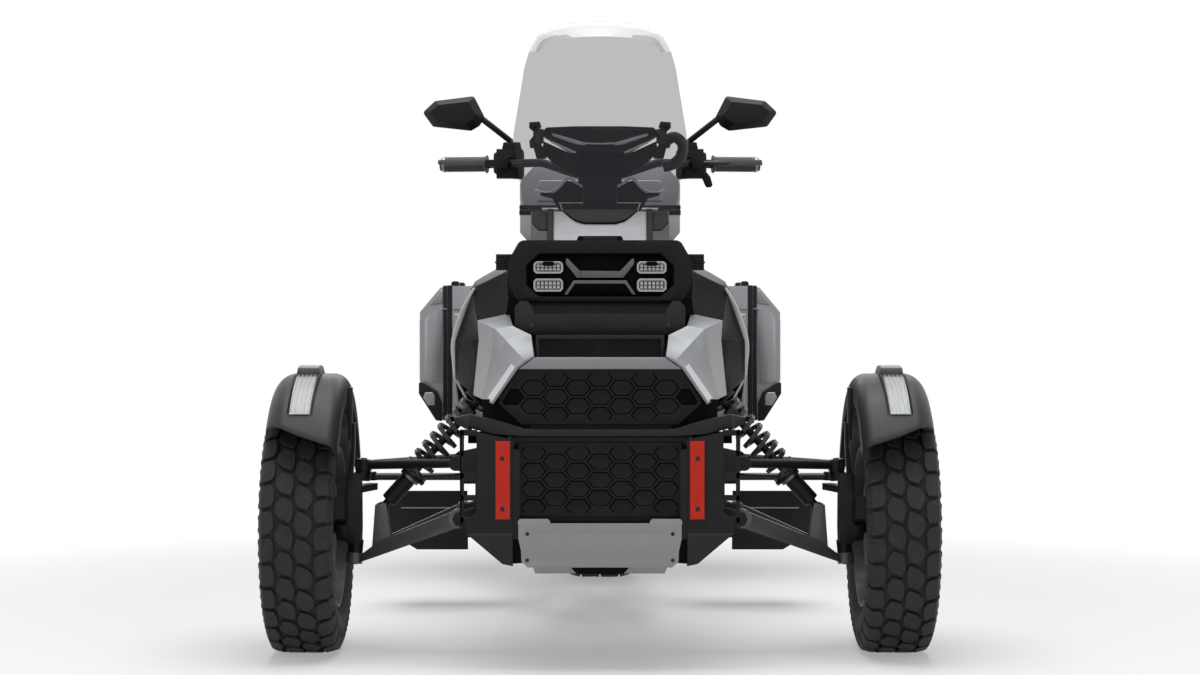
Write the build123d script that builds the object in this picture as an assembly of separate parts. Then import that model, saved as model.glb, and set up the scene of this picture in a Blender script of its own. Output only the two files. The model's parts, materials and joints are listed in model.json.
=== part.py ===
from build123d import *
import math
import os

# A three-wheeler with two steered wheels in front.  It faces -Y, stands on z 0, and is symmetric about x 0
# unless a note says so.  All sizes are in millimetres.  Outlines across the trike are (x, z), outlines seen
# from the side are (y, z).

# ---- driving dimensions ----
wheelbase = 1720
front_axle_y = -940
front_track = 1390
front_end_y = -1300
rear_end_y = 1300
top_z = 1558

front_tyre_radius = 298
front_tyre_width = 170
front_tread_width = 150
rear_tyre_radius = 303
rear_tyre_width = 225
rear_tread_width = 176
rim_radius = 190.5
rim_wall = 9
rim_edge = 8
front_disc_offset = 52

kingpin_top_x = 563
kingpin_top_z = 446
kingpin_foot_x = 585
kingpin_foot_z = 225
eye_radius = 20
eye_height = 26
pin_radius = 7
axle_radius = 15
running_gap = 0.5
seat_gap = 0.3

upper_pivot_x = 336
upper_pivot_z = 456
upper_pivot_spread = 110
lower_pivot_x = 331
lower_pivot_z = 328
lower_pivot_spread = 122
bush_radius = 17
bush_length = 40

shock_foot_x = 520
shock_foot_z = 342
shock_head_x = 270
shock_head_z = 620
shock_eye = 16
spring_radius = 34
spring_wire = 10
front_spring_turns = 8
rear_spring_turns = 6
turn_facets = 10

tie_rod_z = 410
tie_rod_radius = 9
steering_arm_length = 120
tie_rod_end_x = 558
open_pivot_gap = 7
rack_half_length = 196

bulkhead_half_width = 290
bulkhead_front = 145
bulkhead_back = 145
bulkhead_bottom_z = 300
bulkhead_top_z = 490
frame_wall = 8

steering_head_y = -430
steering_head_z = 1150
steering_rake = 20

case_front_y = 560
case_back_y = 1060
case_inner_x = 300
case_split_x = 454
case_outer_x = 536
case_bottom_z = 489
case_top_z = 888
case_wall = 6
hinge_radius = 6.5
top_case_half_width = 248
top_case_front_y = 880
top_case_bottom_z = 1027
top_case_split_z = 1128
top_case_top_z = 1270
panel_wall = 5

rear_axle_y = front_axle_y + wheelbase
wheel_x = front_track / 2


# ---- ways of making solids ----
def outline_face(points):
    return Face(Wire.make_polygon([Vector(*p) for p in points], close=True))


def across(points, y0, y1):
    """An (x, z) outline carried from y0 to y1."""
    face = outline_face([(x, y0, z) for x, z in points])
    return Solid.extrude(face, Vector(0, y1 - y0, 0))


def sideways(points, x0, x1):
    """A (y, z) outline carried from x0 to x1."""
    face = outline_face([(x0, y, z) for y, z in points])
    return Solid.extrude(face, Vector(x1 - x0, 0, 0))


def block(x0, x1, y0, y1, z0, z1):
    return across([(x0, z0), (x1, z0), (x1, z1), (x0, z1)], y0, y1)


def rod(start, end, radius):
    a, b = Vector(*start), Vector(*end)
    return Solid.make_cylinder(radius, (b - a).length, Plane(a, z_dir=b - a))


def tube(points, radius, bend):
    """A bent round bar through the points, each corner an arc of radius bend."""
    path = FilletPolyline(*points, radius=bend)
    section = Plane(path @ 0, z_dir=path % 0) * Circle(radius)
    return sweep(section, path=path).solid()


def skin(stations):
    """A solid whose outlines (y, [(x, z), ...]) all have the same number of corners."""
    faces = [outline_face([(x, y, z) for x, z in points]) for y, points in stations]
    return loft(faces, ruled=True).solid()


def beam(stations):
    """A boxed bar: stations (x, y, z, half width, half depth) along X."""
    faces = []
    for x, y, z, w, d in stations:
        corners = [(y - w, z - d), (y + w, z - d), (y + w, z + d), (y - w, z + d)]
        faces.append(outline_face([(x, *corner) for corner in corners]))
    return loft(faces, ruled=True).solid()


def band(points, wall):
    """The closed outline of a wall that follows an open run of points, its thickness on their right."""
    inner = []
    for i, (x, z) in enumerate(points):
        x0, z0 = points[max(i - 1, 0)]
        x1, z1 = points[min(i + 1, len(points) - 1)]
        length = math.hypot(x1 - x0, z1 - z0)
        inner.append((x + (z1 - z0) / length * wall, z - (x1 - x0) / length * wall))
    return list(points) + inner[::-1]


def shell(stations, wall):
    return skin([(y, band(points, wall)) for y, points in stations])


def both(points):
    """An outline for the +X half, closed by its mirror image."""
    return list(points) + [(-x, z) for x, z in reversed(points)]


def turned(points, x, y, z, start=0, sweep_angle=360):
    """Points (x, radius) turned about an axis along X through (x, y, z)."""
    face = outline_face([(a, r, 0) for a, r in points])
    return Pos(x, y, z) * Rot(start, 0, 0) * Solid.revolve(face, sweep_angle, Axis.X)


def mirrored(shape):
    return mirror(shape, Plane.YZ)


def fused(*shapes):
    result = shapes[0]
    for shape in shapes[1:]:
        result = result + shape
    return result


def solids_of(*shapes):
    """Solids that stay apart, written to one node."""
    found = []
    for shape in shapes:
        found.extend(shape.solids())
    return Compound(found)


def pair(*shapes):
    return solids_of(*shapes, *[mirrored(s) for s in shapes])


# ---- wheels ----
def tyre(x, y, radius, width, tread, bead):
    half, crown, foot = width / 2, tread / 2, bead / 2
    shoulder = radius - 30
    wall = (radius + rim_radius) / 2
    profile = [(-foot, rim_radius), (-half, wall - 15), (-half + 1, shoulder), (-crown, radius - 3),
               (-crown * 0.6, radius), (crown * 0.6, radius), (crown, radius - 3), (half - 1, shoulder),
               (half, wall - 15), (foot, rim_radius)]
    return turned(profile, x, y, radius)


def rim(x, y, z, bead, face_x, hub_length, disc_x, disc_radius):
    """Cast wheel: barrel, hub and Y spokes; x values are measured outwards from the wheel's middle."""
    half = bead / 2 + rim_edge
    inner = rim_radius - rim_wall
    barrel = turned([(-half, inner), (half, inner), (half, rim_radius), (-half, rim_radius)], x, y, z)
    hub = turned([(hub_length[0], axle_radius + running_gap), (hub_length[1], axle_radius + running_gap),
                  (hub_length[1], 38), (hub_length[0], 44)], x, y, z)
    disc = turned([(disc_x - 3, 40), (disc_x + 3, 40), (disc_x + 3, disc_radius), (disc_x - 3, disc_radius)],
                  x, y, z)
    spokes = []
    count = 6
    fork, foot, tip, leg = 96, 38, inner + 3, 13
    outline = [(-16, foot), (16, foot), (13, fork), (52, tip - 8), (52 - 2 * leg, tip), (0, fork + 34),
               (-52 + 2 * leg, tip), (-52, tip - 8), (-13, fork)]
    for i in range(count):
        face = outline_face([(face_x, a, r) for a, r in outline])
        arm = Solid.extrude(face, Vector(20, 0, 0))
        spokes.append(Pos(x, y, z) * Rot(360 / count * i, 0, 0) * arm)
    return fused(barrel, hub, disc, *spokes)


def front_wheel():
    bead = front_tyre_width - 38
    rubber = tyre(wheel_x, front_axle_y, front_tyre_radius, front_tyre_width, front_tread_width, bead)
    disc_x = -front_disc_offset
    metal = rim(wheel_x, front_axle_y, front_tyre_radius, bead, 22, (disc_x, 48), disc_x, 132)
    return rubber, metal


def rear_wheel():
    bead = rear_tyre_width - 48
    rubber = tyre(0, rear_axle_y, rear_tyre_radius, rear_tyre_width, rear_tread_width, bead)
    metal = rim(0, rear_axle_y, rear_tyre_radius, bead, -10, (-142, 142), -126, 125)
    pulley = turned([(belt_x - 11, 36), (belt_x + 11, 36), (belt_x + 11, pulley_radius),
                     (belt_x - 11, pulley_radius)], 0, rear_axle_y, rear_tyre_radius)
    return rubber, fused(metal, pulley)


# ---- front suspension and steering, +X side ----
def on_kingpin(z):
    t = (z - kingpin_foot_z) / (kingpin_top_z - kingpin_foot_z)
    return (kingpin_foot_x + t * (kingpin_top_x - kingpin_foot_x), front_axle_y, z)


def knuckle():
    half = eye_height / 2
    top, foot = kingpin_top_z - half - seat_gap, kingpin_foot_z + half + seat_gap
    y, axle_z = front_axle_y, front_tyre_radius
    x0, x1 = kingpin_top_x + 5, kingpin_foot_x + 19
    web = [(y - 20, foot + 22), (y + 20, foot + 22), (y + 34, axle_z), (y + 22, top - 6), (y - 22, top - 6),
           (y - 34, axle_z)]
    parts = [sideways(web, x0, x1)]
    parts.append(rod(on_kingpin(foot), on_kingpin(foot + 30), eye_radius - 2))
    parts.append(rod(on_kingpin(top - 24), on_kingpin(top), eye_radius - 2))
    parts.append(rod(on_kingpin(top - 10), on_kingpin(kingpin_top_z + half + 3), pin_radius))
    parts.append(rod(on_kingpin(kingpin_foot_z - half - 3), on_kingpin(foot + 10), pin_radius))
    parts.append(rod((x1 - 4, y, axle_z), (x1 + 22, y, axle_z), 34))
    parts.append(rod((x1 + 20, y, axle_z), (wheel_x + 46, y, axle_z), axle_radius))
    arm_z = tie_rod_z - tie_rod_radius - 8 - open_pivot_gap
    arm_y = y + steering_arm_length
    end_x = on_kingpin(arm_z)[0] - 14
    arm = [(x0 + 2, y + 10), (x1 - 6, y + 20), (end_x + 15, arm_y), (end_x + 8, arm_y + 14),
           (end_x - 8, arm_y + 14), (end_x - 15, arm_y)]
    arm_face = outline_face([(a, b, arm_z - 8) for a, b in arm])
    parts.append(Solid.extrude(arm_face, Vector(0, 0, 16)))
    # caliper round the front edge of the disc, on a bracket from the web
    disc_middle_x = wheel_x - front_disc_offset
    c0, c1 = disc_middle_x - 24, disc_middle_x + 20
    caliper = sideways([(y - 155, axle_z + 20), (y - 95, axle_z + 20), (y - 88, axle_z + 105),
                        (y - 122, axle_z + 105)], c0, c1)
    caliper = caliper - block(disc_middle_x - 6, disc_middle_x + 6, y - 170, y - 80, axle_z, axle_z + 140)
    caliper = caliper + block(c0, c1, y - 155, y - 140, axle_z + 30, axle_z + 70)
    bracket = sideways([(y - 120, axle_z + 30), (y - 10, axle_z + 10), (y - 10, axle_z + 60),
                        (y - 120, axle_z + 80)], x1 - 6, c0 + 4)
    parts += [caliper, bracket]
    return fused(*parts)


fender_clearance = 68
fender_skirt = 58
fender_radius = front_tyre_radius + fender_clearance
fender_wall = 4
fender_inner_x = 598
fender_outer_x = 768
fender_inner_round = 36
fender_outer_round = 50
fender_back_angle = 20
fender_front_angle = 141     # of the front edge at mid width
fender_lean = 22             # of the front edge, back towards the outer side
pedestal_x = (658, 716)
lamp_x = (662, 712)


def fender_run(inset):
    """The guard's outline from its inner edge over the crown to its outer edge."""
    a, b, r = fender_inner_x + inset, fender_outer_x - inset, fender_radius - inset
    low = fender_radius - fender_skirt
    near, far = fender_inner_round - inset, fender_outer_round - inset
    k = math.sqrt(0.5)
    return [Line((a, low), (a, r - near)),
            ThreePointArc((a, r - near), (a + near * (1 - k), r - near * (1 - k)), (a + near, r)),
            Line((a + near, r), (b - far, r)),
            ThreePointArc((b - far, r), (b - far * (1 - k), r - far * (1 - k)), (b, r - far)),
            Line((b, r - far), (b, low))]


def fender_shell():
    outer, inner = fender_run(0), fender_run(fender_wall)
    rims = [Line(outer[-1] @ 1, inner[-1] @ 1), Line(inner[0] @ 0, outer[0] @ 0)]
    section = Face(Wire([piece.edge() for piece in outer + inner + rims]))
    past = 12
    guard = Solid.revolve(section, fender_front_angle + past - fender_back_angle, Axis.X)
    guard = Pos(0, front_axle_y, front_tyre_radius) * Rot(fender_back_angle, 0, 0) * guard
    a, lean = math.radians(fender_front_angle), math.radians(fender_lean)
    at = ((fender_inner_x + fender_outer_x) / 2, front_axle_y + fender_radius * math.cos(a),
          front_tyre_radius + fender_radius * math.sin(a))
    off = (math.sin(lean), -math.sin(a) * math.cos(lean), math.cos(a) * math.cos(lean))
    reach = fender_radius
    return guard - Plane(at, z_dir=off) * Pos(0, 0, reach / 2) * Box(reach, reach, reach)


def fender():
    y, z = front_axle_y, front_tyre_radius
    low, high = fender_radius - 2, fender_radius + 21
    x0, x1 = pedestal_x
    pedestal = turned([(x0, low), (x1, low), (x1 - 5, high), (x0 + 5, high)], 0, y, z, 86, 14)
    # the stay rises from the knuckle to the inner wall of the guard
    stay_x = fender_inner_x - 8
    foot_z, head_z = kingpin_top_z + 60, z + fender_radius - 38
    stay = sideways([(y - 12, foot_z), (y + 12, foot_z), (y + 18, head_z), (y - 18, head_z)],
                    stay_x, fender_inner_x + 1)
    return fused(fender_shell(), pedestal, stay)


def fender_lamp():
    r = fender_radius + seat_gap
    x0, x1 = lamp_x
    section = [(x0, r), (x1, r), (x1 - 4, r + 9), (x0 + 4, r + 9)]
    return turned(section, 0, front_axle_y, front_tyre_radius, 102, 30)


def fender_stay():
    """Post on the knuckle that the guard's stay is bolted to."""
    y = front_axle_y
    x = fender_inner_x - 8
    foot = on_kingpin(kingpin_top_z)[0] + 40
    post = across([(foot - 14, 395), (foot, 395), (x, kingpin_top_z + 50), (x, kingpin_top_z + 100),
                   (x - 7, kingpin_top_z + 100), (x - 7, kingpin_top_z + 52)], y - 11, y + 11)
    return post


def upper_arm():
    y, z = front_axle_y, kingpin_top_z
    parts = [rod(on_kingpin(z - eye_height / 2), on_kingpin(z + eye_height / 2), eye_radius)]
    for side in (-1, 1):
        pivot_y = y + side * upper_pivot_spread
        parts.append(rod((upper_pivot_x, pivot_y, upper_pivot_z), (kingpin_top_x - 10, y + side * 6, z), 11))
        parts.append(rod((upper_pivot_x, pivot_y - bush_length / 2, upper_pivot_z),
                         (upper_pivot_x, pivot_y + bush_length / 2, upper_pivot_z), bush_radius))
    arm = fused(*parts)
    return arm - rod(on_kingpin(z - 40), on_kingpin(z + 40), pin_radius + running_gap)


def lower_arm():
    y = front_axle_y
    eye_z = kingpin_foot_z
    parts = [rod(on_kingpin(eye_z - eye_height / 2), on_kingpin(eye_z + eye_height / 2), eye_radius)]
    slope = (kingpin_foot_z - lower_pivot_z) / (kingpin_foot_x - lower_pivot_x)
    foot_z = lower_pivot_z + slope * (shock_foot_x - lower_pivot_x)
    for side in (-1, 1):
        pivot_y = y + side * lower_pivot_spread
        parts.append(beam([(lower_pivot_x, pivot_y, lower_pivot_z, 11, 21),
                           (shock_foot_x, y + side * 34, foot_z, 14, 17),
                           (kingpin_foot_x - 15, y + side * 8, eye_z - 2, 9, 8)]))
        parts.append(rod((lower_pivot_x, pivot_y - bush_length / 2, lower_pivot_z),
                         (lower_pivot_x, pivot_y + bush_length / 2, lower_pivot_z), bush_radius + 5))
    web_z = lower_pivot_z + slope * (shock_foot_x - 20 - lower_pivot_x)
    tip_z = lower_pivot_z + slope * (shock_foot_x + 40 - lower_pivot_x)
    web = beam([(shock_foot_x - 60, y, web_z + 16, 50, 4), (shock_foot_x + 40, y, tip_z, 20, 4)])
    parts.append(web)
    for side in (-1, 1):
        ear_y = y + side * (shock_eye + seat_gap + 3.5)
        parts.append(across([(shock_foot_x - 26, web_z - 4), (shock_foot_x + 22, web_z - 20),
                             (shock_foot_x + 14, shock_foot_z + 10), (shock_foot_x - 12, shock_foot_z + 14)],
                            ear_y - 3.5, ear_y + 3.5))
    arm = fused(*parts)
    return arm - rod(on_kingpin(eye_z - 40), on_kingpin(eye_z + 40), pin_radius + running_gap)


def coil(start, end, radius, wire, turns):
    """A spring of square wire whose turns are straight facets, round the line from start to end."""
    a, b = Vector(*start), Vector(*end)
    place = Plane(a, z_dir=b - a).location
    length = (b - a).length - wire
    count = turns * turn_facets
    rings = []
    for i in range(count + 1):
        angle = 2 * math.pi * i / turn_facets
        height = wire / 2 + length * i / count
        ring = []
        for r, h in ((-1, -1), (1, -1), (1, 1), (-1, 1)):
            reach = radius - wire / 2 + r * wire / 2
            ring.append((reach * math.cos(angle), reach * math.sin(angle), height + h * wire / 2))
        rings.append(ring)
    faces = [outline_face(rings[0]), outline_face(rings[-1])]
    for p, q in zip(rings, rings[1:]):
        for k in range(4):
            m = (k + 1) % 4
            if k % 2:
                faces.append(outline_face([p[k], p[m], q[m], q[k]]))
            else:
                faces.append(outline_face([p[k], p[m], q[m]]))
                faces.append(outline_face([p[k], q[m], q[k]]))
    return place * Solid(Shell(faces))


def between(start, end, t):
    return tuple(a + (b - a) * t for a, b in zip(start, end))


def shock(head, foot, along, eye, spring_share, turns):
    """Damper and spring; along is the direction of the eyes' pins."""
    parts = []
    for end in (head, foot):
        p = [c - d * eye for c, d in zip(end, along)]
        q = [c + d * eye for c, d in zip(end, along)]
        parts.append(rod(p, q, eye - 1))
    parts.append(rod(head, foot, 9))
    length = math.dist(head, foot)
    cup, high = 8 / length, 34 / length
    low = spring_share
    parts.append(rod(between(head, foot, low - cup), between(head, foot, low), spring_radius + 2))
    parts.append(rod(between(head, foot, high - cup), between(head, foot, high), spring_radius + 2))
    parts.append(rod(between(head, foot, low - 0.01), between(head, foot, 1 - 28 / length), 19))
    damper = fused(*parts)
    near = seat_gap / length
    spring = coil(between(head, foot, high + near), between(head, foot, low - cup - near), spring_radius,
                  spring_wire, turns)
    return damper, spring


def front_shock():
    y = front_axle_y
    return shock((shock_head_x, y, shock_head_z), (shock_foot_x, y, shock_foot_z), (0, 1, 0), shock_eye, 0.72,
                 front_spring_turns)


def tie_rods():
    y = front_axle_y + steering_arm_length
    bar = rod((-tie_rod_end_x, y, tie_rod_z), (tie_rod_end_x, y, tie_rod_z), tie_rod_radius)
    parts = [bar]
    for side in (-1, 1):
        x = side * tie_rod_end_x
        parts.append(rod((x, y, tie_rod_z - tie_rod_radius), (x, y, tie_rod_z + 12), 15))
        parts.append(rod((side * 268, y, tie_rod_z), (side * 330, y, tie_rod_z), 18))
    return fused(*parts)


# ---- frame ----
rail_x = 200
rail_wall = 8
spine_bottom_z = 560
spine_top_z = 640
spine_half_width = 45
seat_rail_x = 110
tower_half = 18


def ear(x, z, y, reach):
    """A pivot ear that stands out from the bulkhead's side."""
    return across([(bulkhead_half_width - 2, z - reach), (x + 6, z - 14), (x + 12, z), (x + 6, z + 14),
                   (bulkhead_half_width - 2, z + reach)], y - 3, y + 3)


def rear_guard_top(y):
    """Height just above the rear guard's crown."""
    return rear_tyre_radius + seat_gap * 2 + math.sqrt(rear_guard_radius ** 2 - (y - rear_axle_y) ** 2)


def bulkhead():
    """The front box with its pivot ears, the shock towers and the rails that carry the nose."""
    y0, y1 = front_axle_y - bulkhead_front, front_axle_y + bulkhead_back
    w = bulkhead_half_width
    box = block(-w, w, y0, y1, bulkhead_bottom_z, bulkhead_top_z)
    box = box - block(-w + frame_wall, w - frame_wall, y0 + frame_wall, y1 - frame_wall,
                      bulkhead_bottom_z - 20, bulkhead_top_z + 20)
    window_y0, window_y1 = y0 + 45, y1 - 90
    window = [(window_y0, bulkhead_bottom_z + 30), (window_y1, bulkhead_bottom_z + 30),
              (window_y1, bulkhead_top_z - 20), (window_y0, bulkhead_top_z - 20)]
    box = box - sideways(window, -w - 20, w + 20)
    rack_y = front_axle_y + steering_arm_length
    for x0, x1 in ((-w - 20, -rack_half_length - 4), (rack_half_length + 4, w + 20)):
        box = box - rod((x0, rack_y, tie_rod_z), (x1, rack_y, tie_rod_z), 26)
    box = box - block(-150, 150, y0 - 5, y0 + 20, bulkhead_bottom_z + 45, bulkhead_top_z - 35)
    parts = [box]
    off = bush_length / 2 + 3 + seat_gap
    pivots = [(upper_pivot_x, upper_pivot_z, upper_pivot_spread),
              (lower_pivot_x, lower_pivot_z, lower_pivot_spread)]
    for x, z, spread in pivots:
        for end in (-1, 1):
            for gap in (-1, 1):
                lug = ear(x, z, front_axle_y + end * spread + gap * off, 26)
                parts += [lug, mirrored(lug)]
    nose = bumper_y + 5 + seat_gap
    tower = front_axle_y - tower_half, front_axle_y + tower_half
    for side in (-1, 1):
        x0, x1 = sorted((side * rail_x, side * (rail_x + rail_wall)))
        # lower and upper rails that carry the bumper
        parts.append(sideways([(nose, 250), (y0 + 2, bulkhead_bottom_z), (y0 + 2, 345), (nose, 345)], x0, x1))
        parts.append(sideways([(nose, 480), (y0 + 2, 440), (y0 + 2, bulkhead_top_z), (nose, 530)], x0, x1))
        # tower beside the middle, up to the headlight housing, with the plates that hold the shock's head
        t0, t1 = sorted((side * 84, side * 112))
        parts.append(block(t0, t1, *tower, bulkhead_bottom_z, 852 - seat_gap))
        for gap in (-1, 1):
            y = front_axle_y + gap * (shock_eye + 3 + seat_gap)
            plate = across([(100, 596), (shock_head_x - 8, 600), (shock_head_x + 16, shock_head_z),
                            (shock_head_x, shock_head_z + 18), (100, 700)], y - 3, y + 3)
            parts.append(plate if side > 0 else mirrored(plate))
        # post that holds the cross beam
        p0, p1 = sorted((side * 108, side * 132))
        parts.append(block(p0, p1, y0 - 30, y0 + 6, bulkhead_top_z - 20, cross_beam_z - seat_gap))
    parts.append(block(-w + 2, w - 2, *tower, bulkhead_bottom_z, bulkhead_bottom_z + 30))
    parts.append(block(-112, 112, *tower, spine_bottom_z, spine_top_z))
    # cross members behind the lower grille
    for z0, z1 in ((330, 354), (508, bumper_bar_z - seat_gap)):
        parts.append(block(-rail_x - 2, rail_x + 2, grille_y + 8 + seat_gap, radiator_y - seat_gap, z0, z1))
    return fused(*parts)


def frame():
    """The spine, the rails under the engine and under the seats, and the steering head."""
    y1 = front_axle_y + bulkhead_back + seat_gap
    back_y, back_z = 200, (215, 245)
    parts = []
    for side in (-1, 1):
        x0, x1 = sorted((side * rail_x, side * (rail_x + rail_wall)))
        parts.append(sideways([(y1, bulkhead_bottom_z), (back_y, back_z[0]), (back_y, back_z[1]),
                               (y1, bulkhead_bottom_z + 45)], x0, x1))
        s0, s1 = sorted((side * seat_rail_x, side * (seat_rail_x - 26)))
        seat_rail = [(150, 600), (480, 660), (1020, 742), (1020, 776), (470, 690), (150, spine_top_z)]
        parts.append(sideways(seat_rail, s0, s1))
    parts.append(block(-spine_half_width, spine_half_width, front_axle_y + tower_half + seat_gap, back_y,
                       spine_bottom_z, spine_top_z))
    parts.append(block(-seat_rail_x, seat_rail_x, 150, back_y, spine_bottom_z + 40, spine_top_z))
    parts.append(block(-seat_rail_x, seat_rail_x, 990, 1020, 744, 770))
    parts.append(block(-rail_x - 2, rail_x + 2, 170, back_y, *back_z))
    # hangers for the swingarm's pivot, clevis for the rear shock and hangers for the rear guard
    for side in (-1, 1):
        h0, h1 = sorted((side * 84, side * 98))
        hanger = block(h0, h1, pivot_y - 30, pivot_y + 30, back_z[1], spine_top_z)
        parts.append(hanger - rod((-120, pivot_y, pivot_z), (120, pivot_y, pivot_z), pivot_radius + seat_gap))
        c0, c1 = sorted((side * (shock_eye + seat_gap), side * (shock_eye + seat_gap + 6)))
        head_y = rear_shock_head[1]
        clevis = [(190, 600), (head_y, 560), (head_y + 18, 580), (head_y, 600), (190, spine_top_z)]
        parts.append(sideways(clevis, c0, c1))
        f0, f1 = sorted((side * 84, side * 108))
        for y, top in ((692, 706), (884, 730)):
            feet = [(y, rear_guard_top(y)), (y + 26, rear_guard_top(y + 26))]
            parts.append(sideways(feet + [(y + 26, top + 2), (y, top)], f0, f1))
    # cross bars and posts under the seats
    parts.append(block(-90, 90, 244, 276, 646, 664))
    parts.append(block(-60, 60, 244, 276, 660, 743.5))
    parts.append(block(-90, 90, 608, 632, 690, 708))
    parts.append(block(-60, 60, 612, 628, 700, 834.6))
    # steering head with its gusset
    lean = math.tan(math.radians(steering_rake))
    top = (0, steering_head_y - lean * 88, steering_head_z - 88)
    low = (0, steering_head_y - lean * 290, steering_head_z - 290)
    head = rod(top, low, 30) - rod((0, steering_head_y, steering_head_z), between(top, low, 0.97), 14.5)
    gusset = sideways([(-560, 640), (-440, 640), (-470, 880), (-500, 1000), (-545, 880)], -16, 16)
    gusset = gusset - rod(top, low, 15)
    parts += [head + gusset]
    return fused(*parts)


def rack_housing():
    y = front_axle_y + steering_arm_length
    reach = rack_half_length
    body = rod((-reach, y, tie_rod_z), (reach, y, tie_rod_z), 16.7)
    return body - rod((-reach - 4, y, tie_rod_z), (reach + 4, y, tie_rod_z), tie_rod_radius + running_gap)


# ---- nose ----
bumper_y = front_end_y + 6 + seat_gap
grille_y = -1268
radiator_y = -1228
skid_front_y = front_end_y
duct_front_y = -1212
cross_beam_z = 757
bumper_bar_z = 531
strip_bolt_x = 219
strip_bolt_z = (368, 481)
strip_bolt_radius = 5
skid_bolt_x = 163
skid_bolt_z = (253, 312)
skid_bolt_radius = 4.5


def strip_bolt_holes():
    x = strip_bolt_x
    return [rod((x, bumper_y - 20, z), (x, bumper_y + 20, z), strip_bolt_radius) for z in strip_bolt_z]


def bumper_plates():
    outline = [(195, 239), (219, 244), (301, 313), (301, 546), (195, 522)]
    plate = across(outline, bumper_y, bumper_y + 5)
    flange = sideways([(bumper_y + 1, 318), (bumper_y + 60, 350), (bumper_y + 60, 520), (bumper_y + 1, 545)],
                      296, 301)
    for z in (370, 412, 454, 492):
        flange = flange - block(290, 310, bumper_y + 20, bumper_y + 44, z, z + 26)
    inner = block(195 - 15, 197, bumper_y, bumper_y + 5, 300, 500)
    plate = fused(plate, flange, inner)
    return pair(plate - strip_bolt_holes())


def accent_strips():
    strip = block(202, 234, bumper_y - 6, bumper_y, 345, 520)
    return pair(strip - strip_bolt_holes())


def hex_mesh(outline, y, depth, border, cell_width, cell_height, bar):
    """A plate pierced by flat-topped hexagons in staggered columns, with a solid border."""
    panel = across(outline, y, y + depth)
    xs, zs = [p[0] for p in outline], [p[1] for p in outline]
    middle_z = (min(zs) + max(zs)) / 2
    scale_x = (max(xs) - border) / max(xs)
    half_height = (max(zs) - min(zs)) / 2
    scale_z = (half_height - border) / half_height
    field = outline_face([(px * scale_x, y, middle_z + (pz - middle_z) * scale_z) for px, pz in outline])
    column, row = cell_width * 0.75 + bar, cell_height + bar
    reach = int(max(xs) / column) + 1
    holes = []
    for i in range(-reach, reach + 1):
        shift = row / 2 if i % 2 else 0
        for j in range(-3, 4):
            cx, cz = i * column, middle_z + j * row + shift
            w, h = cell_width / 2, cell_height / 2
            corners = [(-w, 0), (-w / 2, -h), (w / 2, -h), (w, 0), (w / 2, h), (-w / 2, h)]
            cell = outline_face([(cx + a, y, cz + b) for a, b in corners])
            cut = cell & field
            if cut is None:
                continue
            for face in cut.faces():
                if face.area > 0.3 * cell.area:
                    holes.append(Solid.extrude(face, Vector(0, depth, 0)))
    return panel - holes


def lower_grille():
    outline = both([(186, 348), (186, 515)])
    return hex_mesh(outline, grille_y, 8, 9, 60, 36, 5)


def upper_grille():
    outline = both([(178, 555), (231, 603), (188, 680)])
    return hex_mesh(outline, grille_y + 22, 8, 9, 60, 36, 5)


def skid_plate():
    y = skid_front_y
    outline = both([(113, 336), (113, 343), (183, 343), (183, 300), (177, 275), (176, 250), (162, 237)])
    plate = across(outline, y, y + 6)
    under = sideways([(y + 1, 237), (y + 180, 205), (y + 180, 211), (y + 6, 243)], -150, 150)
    plate = plate + under
    for x in (-skid_bolt_x, skid_bolt_x):
        for z in skid_bolt_z:
            plate = plate - rod((x, y - 10, z), (x, y + 20, z), skid_bolt_radius)
    return plate


def bumper_bar():
    """The bar above the lower grille, whose ends roll up and back over the bumper plates."""
    y, z = -1256, bumper_bar_z + 7
    bar = block(-177, 177, y - 20, y + 20, bumper_bar_z, bumper_bar_z + 14)
    lip = beam([(170, y, z, 20, 7), (204, y - 6, z + 7, 25, 12), (244, y - 6, z + 14, 25, 16),
                (296, y + 4, z + 26, 22, 15), (330, y + 38, z + 24, 14, 8)])
    return fused(bar, lip, mirrored(lip))


def nose_bar():
    return across(both([(185, 680.3), (147, 707)]), -1264, duct_front_y - seat_gap)


cowl_back = [(213, 806), (287, 790), (284, 743), (297, 616)]


def cowl():
    # corners run from the inner top edge over the crease to the bottom edge
    stations = [(-1262, [(150, 712), (170, 700), (188, 686), (245, 604)]),
                (-1182, [(157, 757), (218, 748), (236, 703), (266, 608)]),
                (-1160, [(200, 778), (240, 770), (248, 713), (272, 610)]),
                (-1040, cowl_back)]
    return shell(stations, panel_wall)


def shoulder():
    # the first corner is the flange that folds in beside the headlight
    stations = [(-1040 + seat_gap, [(205, 790)] + cowl_back),
                (-880, [(190, 848), (225, 906), (310, 866), (350, 740), (348, 648)]),
                (-780, [(198, 878), (222, 918), (306, 884), (348, 744), (346, 590)]),
                (-640, [(202, 904), (215, 930), (290, 900), (330, 760), (318, 580)]),
                (-430, [(136, 966), (140, 985), (215, 950), (262, 800), (250, 620)])]
    return shell(stations, panel_wall)


cross_beam_y = (-1150, -1070)


def cross_beam():
    y0, y1 = cross_beam_y
    outline = both([(196, cross_beam_z), (196, 822), (184, 834.7), (168, 834.7), (157, 822), (150, 805)])
    # the lip that closes the gap under the headlight
    chin = block(-168, 168, y1 - 6, y1, 800, 834.7)
    return across(outline, y0, y1) + chin


def radiator():
    return block(-158, 158, radiator_y, radiator_y + 50, 346, 676)


def intake_duct():
    """Dark tray behind the nose bar, open at the front."""
    tray = block(-146, 146, duct_front_y, -1120, 700, cross_beam_z - seat_gap)
    return tray - block(-138, 138, duct_front_y - 10, -1140, 708, 749)


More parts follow.
